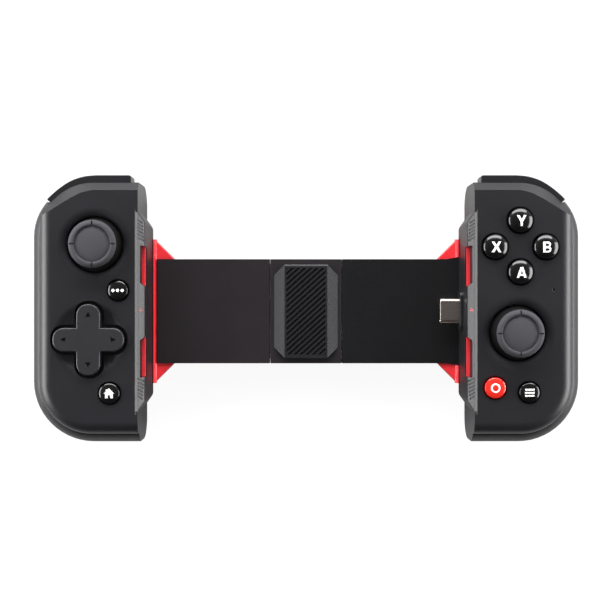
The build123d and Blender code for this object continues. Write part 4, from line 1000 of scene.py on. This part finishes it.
def skirt_form(x, y):
    """Dome below a thumb cap that closes the well, with the socket on the stick's shaft."""
    outside = [(0, 31.98), (4.25, 31.98), (4.3, 32.5), (5.6, 32.05), (7.2, 30.9), (8.6, 29.4),
               (9.7, 27.8), (10.5, 25.9)]
    inside = [(9.75, 25.9), (8.9, 27.6), (7.8, 29.1), (6.4, 30.4), (4.2, 31.2), (0, 31.4)]
    return carved(turned([*outside, *inside], x, y, 96), ("+", square(x, y, 2.2, 29.0, 31.7)),
                  ("-", square(x, y, SHAFT_HALF, SHAFT_LOW, SHAFT_TOP)))


def dome_height(r, edge, top, at):
    """Level of a button's dome at a distance from its middle: a crown with a rolled edge."""
    crown = 0.82 * (top - edge)
    ball = (r * r + crown * crown) / (2 * crown)
    fall = ball - (ball * ball - at * at) ** 0.5
    share = min(1.0, at / r)
    return top - fall - (top - edge - crown) * (1 - (1 - share ** 14) ** 0.5)


def button_form(x, y, r, edge, top):
    """Round button with a full dome, two ears under the face and a stem over its switch."""
    foot = 27.8
    dome = [(r * s, dome_height(r, edge, top, r * s)) for s in (*DOME_SHARES, 0.975, 0.993, 1.0)]
    body = turned([*dome, (r, edge - 0.4), (r, foot), (0, foot)], x, y, 80)
    ears = block(x - r - 0.9, x + r + 0.9, y - 1.4, y + 1.4, foot, 28.95)
    return carved(body, ("+", ears), ("+", square(x, y, 1.2, 23.25, 28.0)))


def pad_form():
    """Cross with rounded edges, a mark pressed into each arm, and nubs and ears underneath."""
    x, y = PAD_XY
    rings = [(27.4, 0.0)]
    for k in range(7):
        turn = radians(15 * k)
        rings.append((32.7 + 0.5 * sin(turn), 0.5 * (1 - cos(turn))))
    body = ring_solid([at_level(moved(cross_outline(PAD_SPAN - i, PAD_ARM - i, 3.6 - i), x, y), z)
                       for z, i in rings])
    steps = []
    for turn in (0, 90, 180, 270):
        deep = moved(spun([(8.8, 0), (7.5, 0.68), (7.5, -0.68)], turn), x, y)
        wide = moved(spun([(9.15, 0), (7.3, 0.95), (7.3, -0.95)], turn), x, y)
        steps.append(("-", ring_solid([at_level(deep, 32.45), at_level(wide, 33.35)])))
        [nub] = moved(spun([(9.0, 0)], turn), x, y)
        steps.append(("+", square(*nub, 1, 23.2, 27.0)))
    for hx, hy in ((12.8, 5.15), (5.15, 12.8)):
        steps.append(("+", block(x - hx, x + hx, y - hy, y + hy, 26.7, 27.6)))
    for way in (1, -1):
        y0, y1 = sorted((y + way * 2.5, y + way * 3.6))
        steps.append(("+", block(x - 1.5, x + 1.5, y0, y1, 23.0, 27.0)))
        steps.append(("-", rod_y(x, y0 - 0.1, y1 + 0.1, 24.2, 0.86)))
    return carved(body, *steps)


# Bridge, springs, plug and screws


def ribbed_pad(pitch):
    """Eight-sided rubber pad with bevelled long sides and slanted ribs between them."""
    hx, hy, c, low, top = 10.75, 15.8, 3.6, 11.6, 13.4
    y0, y1 = BRIDGE_Y - hy, BRIDGE_Y + hy
    octagon = [(-hx, -hy + c), (-hx + c, -hy), (hx - c, -hy), (hx, -hy + c),
               (hx, hy - c), (hx - c, hy), (-hx + c, hy), (-hx, hy - c)]
    roof = [(-hx, low), (-hx, low + 0.1), (-7.2, top), (7.2, top), (hx, low + 0.1), (hx, low)]
    head = [(y0, low), (y0, top), (y1 - 0.5, top), (y1, top - 0.45), (y1, low)]
    body = carved(prism(moved(octagon, 0, BRIDGE_Y), low, top),
                  ("&", prism_y(roof, y0 - 1, y1 + 1)), ("&", prism_x(head, -hx - 1, hx + 1)))
    round_edges(body, 0.15, 10)
    settle(body)
    field = [(-6.6, -14.6), (6.6, -14.6), (6.6, 14.6), (-6.6, 14.6)]
    half, slant, count = 0.34, 42, int(26 / pitch)
    strips = []
    for k in range(-count, count + 1):
        near, far = k * pitch - half, k * pitch + half
        strip = spun([(-30, near), (30, near), (30, far), (-30, far)], slant)
        strips.append(prism(moved(strip, 0, BRIDGE_Y), 12.6, 14))
    grooves = carved(merged(*strips), ("&", prism(moved(field, 0, BRIDGE_Y), 12, 15)))
    return carved(body, ("-", grooves))


def coil(start, end, across, z, r, gauge, turns, axis="x"):
    """Coil spring between two places along an axis."""
    steps = int(turns * 14)
    line = []
    for k in range(steps + 1):
        a, t = tau * turns * k / steps, k / steps
        place = (start + (end - start) * t, across + r * cos(a))
        line.append((*(place if axis == "x" else place[::-1]), z + r * sin(a)))
    return wire(line, gauge)


def plug_form():
    """Metal plug: a drawn shell with a rounded mouth, and two contact strips inside."""
    y, z, wide, high, wall, tip = -0.6, 16.9, 8.25, 2.4, 0.32, 44.85
    rings = []
    for x, inset in ((55.0, 0), (tip + 0.35, 0), (tip + 0.12, 0.05), (tip + 0.02, 0.13),
                     (tip, 0.2), (tip + 0.03, wall - 0.05), (tip + 0.15, wall), (tip + 5.2, wall)):
        outline = stadium(wide - 2 * inset, high - 2 * inset, 14)
        rings.append([(x, y + a, z + b) for a, b in outline])
    strips, contacts = [], []
    for way in (1, -1):
        strips.append(block(tip + 0.5, tip + 5.2, y - 3.1, y + 3.1,
                            *sorted((z + way * 0.88, z + way * 0.4))))
        for k in range(6):
            cy = y - 2.5 + k
            contacts.append(block(tip + 0.9, tip + 4.6, cy - 0.16, cy + 0.16,
                                  *sorted((z + way * 0.41, z + way * 0.34))))
    return ring_solid(rings), merged(*strips), merged(*contacts)


def screw_head(x, y):
    """Domed screw head that faces down, with a cross cut into it."""
    head = [(0, 1.4), (1.1, 1.4), (1.4, 1.3), (1.5, 1.05), (1.42, 0.72), (1.1, 0.55), (0, 0.5)]
    cross = [("-", block(x - a, x + a, y - b, y + b, 0, 1.0))
             for a, b in ((0.85, 0.16), (0.16, 0.85))]
    return carved(turned(head, x, y, 36), *cross)


# Signs


def draped(shape, x, y, r, edge, top, raise_by):
    """The part of an upright prism that lies under a button's dome, raised by the ink's height."""
    dome = [(r * s, dome_height(r, edge, top, r * s) + raise_by) for s in DOME_SHARES]
    low = dome[-1][1] - 0.5
    return carved(turned([*dome, (dome[-1][0], low), (0, low)], x, y, 80), ("&", shape))


def letter(name, x, y):
    """Bold capital of plain strokes, as an upright prism."""
    holes = []
    if name == "a":
        outline = [(-1.62, -1.75), (-0.84, -1.75), (-0.6, -1.08), (0.6, -1.08), (0.84, -1.75),
                   (1.62, -1.75), (0.42, 1.75), (-0.42, 1.75)]
        holes = [[(-0.42, -0.48), (0.42, -0.48), (0.0, 0.92)]]
    elif name == "b":
        outline = [(-1.38, -1.75), (0.34, -1.75), *arc(0.34, -0.8, 0.95, -90, 55, 9),
                   *arc(0.24, 0.88, 0.87, -40, 90, 9), (-1.38, 1.75)]
        holes = [[(-0.64, -1.18), (0.26, -1.18), *arc(0.26, -0.79, 0.39, -90, 90, 6),
                  (-0.64, -0.4)],
                 [(-0.64, 0.3), (0.16, 0.3), *arc(0.16, 0.73, 0.43, -80, 90, 6), (-0.64, 1.16)]]
    elif name == "x":
        outline = [(-1.62, -1.75), (-0.72, -1.75), (0.0, -0.56), (0.72, -1.75), (1.62, -1.75),
                   (0.48, 0.03), (1.54, 1.75), (0.66, 1.75), (0.0, 0.6), (-0.66, 1.75),
                   (-1.54, 1.75), (-0.48, 0.03)]
    else:
        outline = [(-0.38, -1.75), (0.38, -1.75), (0.38, -0.35), (1.58, 1.75), (0.7, 1.75),
                   (0.0, 0.4), (-0.7, 1.75), (-1.58, 1.75), (-0.38, -0.35)]
    body = prism(moved(outline, x, y), *SIGN_Z)
    return carved(body, *[("-", prism(moved(hole, x, y), *SIGN_HOLE_Z)) for hole in holes])


def bars(x, y):
    """Three short bars."""
    return merged(*[block(x - 1.55, x + 1.55, y + d - 0.27, y + d + 0.27, *SIGN_Z)
                    for d in (1.0, 0.0, -1.0)])


def dots(x, y):
    """Three dots in a row."""
    return merged(*[rod(x + d, y, *SIGN_Z, 0.52, 24) for d in (-1.5, 0.0, 1.5)])


def house(x, y):
    """Small house with a chimney and a door."""
    outline = [(-1.25, -1.5), (-0.4, -1.5), (-0.4, -0.45), (0.4, -0.45), (0.4, -1.5), (1.25, -1.5),
               (1.25, 0.05), (1.65, 0.05), (1.0, 0.72), (1.0, 1.35), (0.62, 1.35), (0.62, 1.1),
               (0.0, 1.7), (-1.65, 0.05), (-1.25, 0.05)]
    return prism(moved(outline, x, y), *SIGN_Z)


def ring_sign(x, y):
    """Plain ring."""
    return carved(rod(x, y, *SIGN_Z, 1.55), ("-", rod(x, y, *SIGN_HOLE_Z, 1.0)))


def wing_mark(height):
    """Small hollow triangle printed on the wing's bevel."""
    corners = [(-0.62, -0.5), (0.62, -0.5), (0.0, 0.62)]
    whole, hole = (prism([(54.05 + dx * grow, -0.1 + dy * grow) for dx, dy in corners], 26, 33)
                   for grow in (1.0, 0.5))
    field = [(53.1, -2), (55.2, -2), (55.2, 2), (53.1, 2)]
    skin = ring_solid([[(x, y, bevel_height(x) + lift) for x, y in field]
                       for lift in (-0.15, height * 2)])
    return carved(skin, ("&", carved(whole, ("-", hole))))


# Operators


class CONTROLLER_OT_front_covers(bpy.types.Operator):
    """Front shells with their wings, wells and button holes"""

    bl_idname = "controller.front_covers"
    bl_label = "Front covers"

    def execute(self, context):
        for side, name in SIDE_NAMES.items():
            dressed(front_cover(side), name + "_front_cover", name + "_grip",
                    moulded_abs_shell(), [name + "_front_shell"], side)
        return {"FINISHED"}


class CONTROLLER_OT_back_covers(bpy.types.Operator):
    """Back shells with their screw recesses and openings"""

    bl_idname = "controller.back_covers"
    bl_label = "Back covers"

    def execute(self, context):
        for side, name in SIDE_NAMES.items():
            dressed(back_cover(side), name + "_back_cover", name + "_grip",
                    moulded_abs_shell(), [name + "_back_shell"], side)
        return {"FINISHED"}


class CONTROLLER_OT_shoulders(bpy.types.Operator):
    """Bumpers and triggers of both grips"""

    bl_idname = "controller.shoulders"
    bl_label = "Bumpers and triggers"

    def execute(self, context):
        edge = context.scene.controller_sizes.edge_round
        for side, name in SIDE_NAMES.items():
            dressed(bumper_form(edge / MM), name + "_bumper_bar", name + "_bumper",
                    moulded_abs_bumper(), [name + "_bumper"], side)
            dressed(trigger_form(), name + "_trigger_lever", name + "_trigger",
                    moulded_abs_shell(), [name + "_trigger"], side, edge)
        return {"FINISHED"}


class CONTROLLER_OT_thumb_sticks(bpy.types.Operator):
    """Rubber caps of the two thumb sticks, and the skirts under them"""

    bl_idname = "controller.thumb_sticks"
    bl_label = "Thumb sticks"

    def execute(self, context):
        for side, name in SIDE_NAMES.items():
            cap = name + "_stick_cap"
            dressed(stick_form(*STICKS[side]), name + "_thumb_cap", cap,
                    moulded_silicone_stick(), [cap], side)
            # The skirt's near-black finish is painted shade in the stick's well.
            dressed(skirt_form(*STICKS[side]), name + "_stick_skirt", cap,
                    moulded_abs_skirt_painted_shade(), side=side)
        return {"FINISHED"}


class CONTROLLER_OT_buttons(bpy.types.Operator):
    """Eight domed buttons"""

    bl_idname = "controller.buttons"
    bl_label = "Buttons"

    def execute(self, context):
        for name, (side, *place) in BUTTONS.items():
            slot, finish = "small_button", polished_abs_button
            if name == "app_button":
                slot, finish = "red_button", polished_abs_red
            elif name in LETTER_BUTTONS:
                slot = "gloss_black"
            dressed(button_form(*place), name + "_dome", name, finish(), [name], side)
        return {"FINISHED"}


class CONTROLLER_OT_direction_pad(bpy.types.Operator):
    """Direction pad with its four pressed marks"""

    bl_idname = "controller.direction_pad"
    bl_label = "Direction pad"

    def execute(self, context):
        dressed(pad_form(), "direction_pad", "dpad", moulded_abs_pad(),
                ["dpad"], LEFT)
        return {"FINISHED"}


class CONTROLLER_OT_bridge(bpy.types.Operator):
    """Sleeves, housing, rail and the ribbed pad of the bridge"""

    bl_idname = "controller.bridge"
    bl_label = "Bridge"

    def execute(self, context):
        pitch = context.scene.controller_sizes.rib_pitch / MM
        for node, finish in (("left_sleeve", moulded_abs_left_sleeve_painted_reflection),
                             ("right_sleeve", moulded_abs_right_sleeve_painted_shade),
                             ("bridge_housing", moulded_abs_left_sleeve_painted_reflection),
                             ("bridge_rail", moulded_acetal)):
            refined(node, finish())
        dressed(ribbed_pad(pitch), "ribbed_pad", "bridge",
                moulded_rubber_pad(), ["bridge_pad"])
        return {"FINISHED"}


class CONTROLLER_OT_brackets(bpy.types.Operator):
    """Red brackets between the bridge and the grips"""

    bl_idname = "controller.brackets"
    bl_label = "Brackets"

    def execute(self, context):
        for name in SIDE_NAMES.values():
            refined(name + "_bracket", satin_polycarbonate_red(), 0.3)
        return {"FINISHED"}


class CONTROLLER_OT_plugs(bpy.types.Operator):
    """Phone plug with its base, and the charging socket"""

    bl_idname = "controller.plugs"
    bl_label = "Plug and socket"

    def execute(self, context):
        shell, strips, contacts = plug_form()
        plated = nickel_plated_steel()
        dressed(shell, "plug_shell", "right_grip", plated, ["usb_plug"])
        dressed(strips, "plug_strips", "right_grip",
                moulded_abs_right_sleeve_painted_shade())
        dressed(contacts, "plug_contacts", "right_grip", plated)
        refined("usb_plug_base", moulded_abs_shell())
        refined("charging_port", plated, 0.08)
        refined("indicator_lens", smoked_lens(), 0.05)
        return {"FINISHED"}


class CONTROLLER_OT_mechanism(bpy.types.Operator):
    """Racks, pinion, springs and the inside of the sticks"""

    bl_idname = "controller.mechanism"
    bl_label = "Mechanism"

    def execute(self, context):
        acetal, steel = moulded_acetal(), drawn_steel()
        for node in ("left_rack", "right_rack", "pinion"):
            refined(node, acetal, 0.06)
        refined("pinion_pin", steel, 0.1)
        refined("dpad_pivot", acetal, 0.1)
        for side, name in SIDE_NAMES.items():
            refined(name + "_stick_yoke", acetal, 0.12)
            refined(name + "_stick_pivot", acetal, 0.12)
            refined(name + "_stick_module", pressed_steel())
            refined(name + "_trigger_pin", steel, 0.1)
            ends = (14.9, 46.1) if side == RIGHT else (-46.1, -14.9)
            back = coil(*ends, BRIDGE_Y - side * 12.8, 8.3, r=1.3, gauge=0.26, turns=30)
            dressed(back, name + "_return_coil", "bridge", steel,
                    [name + "_return_spring"])
            push = coil(32.45, 35.9, 72.0, 6.0, r=1.6, gauge=0.25, turns=4.5, axis="y")
            dressed(push, name + "_trigger_coil", name + "_grip", steel,
                    [name + "_trigger_spring"], side)
        return {"FINISHED"}


class CONTROLLER_OT_electronics(bpy.types.Operator):
    """Circuit boards and switches"""

    bl_idname = "controller.electronics"
    bl_label = "Electronics"

    def execute(self, context):
        for name in SIDE_NAMES.values():
            refined(name + "_circuit_board", solder_masked_board(), 0.1)
            refined(name + "_switches", moulded_nylon_switch(), 0.12)
        return {"FINISHED"}


class CONTROLLER_OT_screws(bpy.types.Operator):
    """Screws in the recesses of the back shells"""

    bl_idname = "controller.screws"
    bl_label = "Screws"

    def execute(self, context):
        for side, name in SIDE_NAMES.items():
            whole, *others = [screw_head(x, y) for x, y in POSTS]
            for other in others:
                whole = carved(whole, ("+", other))
            dressed(whole, name + "_screws", name + "_grip", black_zinc_steel(),
                    side=side)
        return {"FINISHED"}


class CONTROLLER_OT_signs(bpy.types.Operator):
    """Letters and signs on the buttons, and the small marks on the wings"""

    bl_idname = "controller.signs"
    bl_label = "Signs"

    def execute(self, context):
        height = context.scene.controller_sizes.print_height / MM
        ink = pad_print_white()
        makers = {"view_button": dots, "home_button": house, "menu_button": bars,
                  "app_button": ring_sign}
        for name, (side, x, y, *dome) in BUTTONS.items():
            if name in makers:
                shape = makers[name](x, y)
            else:
                shape = letter(name[0], x + 0.15, y - 0.15)
            dressed(draped(shape, x, y, *dome, height), name + "_sign", name, ink, side=side)
        red = pad_print_red()
        for side, name in SIDE_NAMES.items():
            dressed(wing_mark(height), name + "_wing_mark", name + "_grip", red, side=side)
        return {"FINISHED"}


class CONTROLLER_OT_stage(bpy.types.Operator):
    """Pale floor, soft lamps and the camera"""

    bl_idname = "controller.stage"
    bl_label = "Stage"

    def execute(self, context):
        scene = context.scene
        scene.view_settings.view_transform = "Standard"
        floor = as_object(block(-FLOOR_HALF, FLOOR_HALF, -FLOOR_HALF, FLOOR_HALF, -2, FLOOR_TOP),
                          "floor")
        floor.data.transform(Matrix.Scale(MM, 4))
        floor.data.materials.append(painted_board())
        scene.world = studio_world()
        for name, place, size, strength in LAMPS:
            lamp = bpy.data.lights.new(name, "AREA")
            lamp.shape = "RECTANGLE"
            lamp.size, lamp.size_y = size
            lamp.energy = strength * size[0] * size[1] * pi
            obj = bpy.data.objects.new(name, lamp)
            obj.location = [v * MM for v in place]
            obj.rotation_euler = (-obj.location).to_track_quat("-Z", "Y").to_euler()
            # The key lamp only lights: its mirror image would spot the button domes.
            obj.visible_glossy = name != "key_softbox"
            scene.collection.objects.link(obj)
        camera = bpy.data.cameras.new("camera")
        camera.lens = CAMERA_LENS
        camera.sensor_width = 36
        camera.clip_start = 0.01
        view = bpy.data.objects.new("camera", camera)
        view.location = [v * MM for v in CAMERA_PLACE]
        scene.collection.objects.link(view)
        scene.camera = view
        return {"FINISHED"}


def studio_world():
    """White background over a grey room: bright near the floor, dark overhead and at the foot."""
    world = bpy.data.worlds.new("studio")
    world.use_nodes = True
    tree = world.node_tree
    tree.nodes.clear()
    rays = add(tree, "ShaderNodeLightPath")
    way = add(tree, "ShaderNodeSeparateXYZ", {}, {
        0: add(tree, "ShaderNodeTexCoord").outputs["Generated"]})
    height = add(tree, "ShaderNodeMapRange", {}, {
        "Value": way.outputs[2], "From Min": 0.0, "From Max": 0.85, "To Min": 0.7, "To Max": 0.16})
    depth = add(tree, "ShaderNodeMapRange", {}, {
        "Value": way.outputs[1], "From Min": -0.7, "From Max": 0.15, "To Min": 0.12, "To Max": 1.0})
    level = add(tree, "ShaderNodeMath", {"operation": "MULTIPLY"}, {
        0: height.outputs[0], 1: depth.outputs[0]})
    room = add(tree, "ShaderNodeBackground", {}, {
        "Color": (1, 1, 1, 1), "Strength": level.outputs[0]})
    white = add(tree, "ShaderNodeBackground", {}, {"Color": (1, 1, 1, 1), "Strength": 1.0})
    mix = add(tree, "ShaderNodeMixShader", {}, {
        0: rays.outputs["Is Camera Ray"], 1: room.outputs[0], 2: white.outputs[0]})
    add(tree, "ShaderNodeOutputWorld", {}, {"Surface": mix.outputs[0]})
    return world


def painted_board():
    """Floor."""
    # Matt board: white to the eye with a trace of the shadow, and plain grey paint in mirrors.
    material, tree = material_named("painted_board")
    if tree is None:
        return material
    rays = add(tree, "ShaderNodeLightPath")
    seen = add(tree, "ShaderNodeMath", {"operation": "MAXIMUM"}, {
        0: rays.outputs["Is Camera Ray"], 1: rays.outputs["Is Transmission Ray"]})
    paint = add(tree, "ShaderNodeBsdfDiffuse", {}, {"Color": (0.5, 0.5, 0.5, 1)})
    faint = add(tree, "ShaderNodeBsdfDiffuse", {}, {"Color": (0.12, 0.12, 0.12, 1)})
    glow = add(tree, "ShaderNodeEmission", {}, {"Strength": 0.92})
    bright = add(tree, "ShaderNodeAddShader", {}, {0: faint.outputs[0], 1: glow.outputs[0]})
    mix = add(tree, "ShaderNodeMixShader", {}, {0: seen.outputs[0], 1: paint.outputs[0],
                                                2: bright.outputs[0]})
    add(tree, "ShaderNodeOutputMaterial", {}, {"Surface": mix.outputs[0]})
    return material


PIECE_OPERATORS = (
    CONTROLLER_OT_front_covers,
    CONTROLLER_OT_back_covers,
    CONTROLLER_OT_shoulders,
    CONTROLLER_OT_thumb_sticks,
    CONTROLLER_OT_buttons,
    CONTROLLER_OT_direction_pad,
    CONTROLLER_OT_bridge,
    CONTROLLER_OT_brackets,
    CONTROLLER_OT_plugs,
    CONTROLLER_OT_mechanism,
    CONTROLLER_OT_electronics,
    CONTROLLER_OT_screws,
    CONTROLLER_OT_signs,
    CONTROLLER_OT_stage,
)


class CONTROLLER_PT_panel(bpy.types.Panel):
    """Sizes, colours and pieces of the controller"""

    bl_label = "Game controller"
    bl_idname = "CONTROLLER_PT_panel"
    bl_space_type = "VIEW_3D"
    bl_region_type = "UI"
    bl_category = "Controller"

    def draw(self, context):
        layout = self.layout
        for group in (context.scene.controller_sizes, context.scene.controller_colours):
            box = layout.box()
            for name in group.__annotations__:
                box.prop(group, name)
        for operator in PIECE_OPERATORS:
            layout.operator(operator.bl_idname)


CLASSES = (ControllerSizes, ControllerColours, *PIECE_OPERATORS, CONTROLLER_PT_panel)


def register():
    """Registers the classes and hangs the sizes and colours on the scene."""
    for item in CLASSES:
        bpy.utils.register_class(item)
    bpy.types.Scene.controller_sizes = bpy.props.PointerProperty(type=ControllerSizes)
    bpy.types.Scene.controller_colours = bpy.props.PointerProperty(type=ControllerColours)


def unregister():
    """Takes the sizes, colours and classes away again."""
    del bpy.types.Scene.controller_colours
    del bpy.types.Scene.controller_sizes
    for item in reversed(CLASSES):
        bpy.utils.unregister_class(item)


def main():
    """Makes every piece and the stage."""
    register()
    for operator in PIECE_OPERATORS:
        group, name = operator.bl_idname.split(".")
        getattr(getattr(bpy.ops, group), name)()


if __name__ == "__main__":
    main()
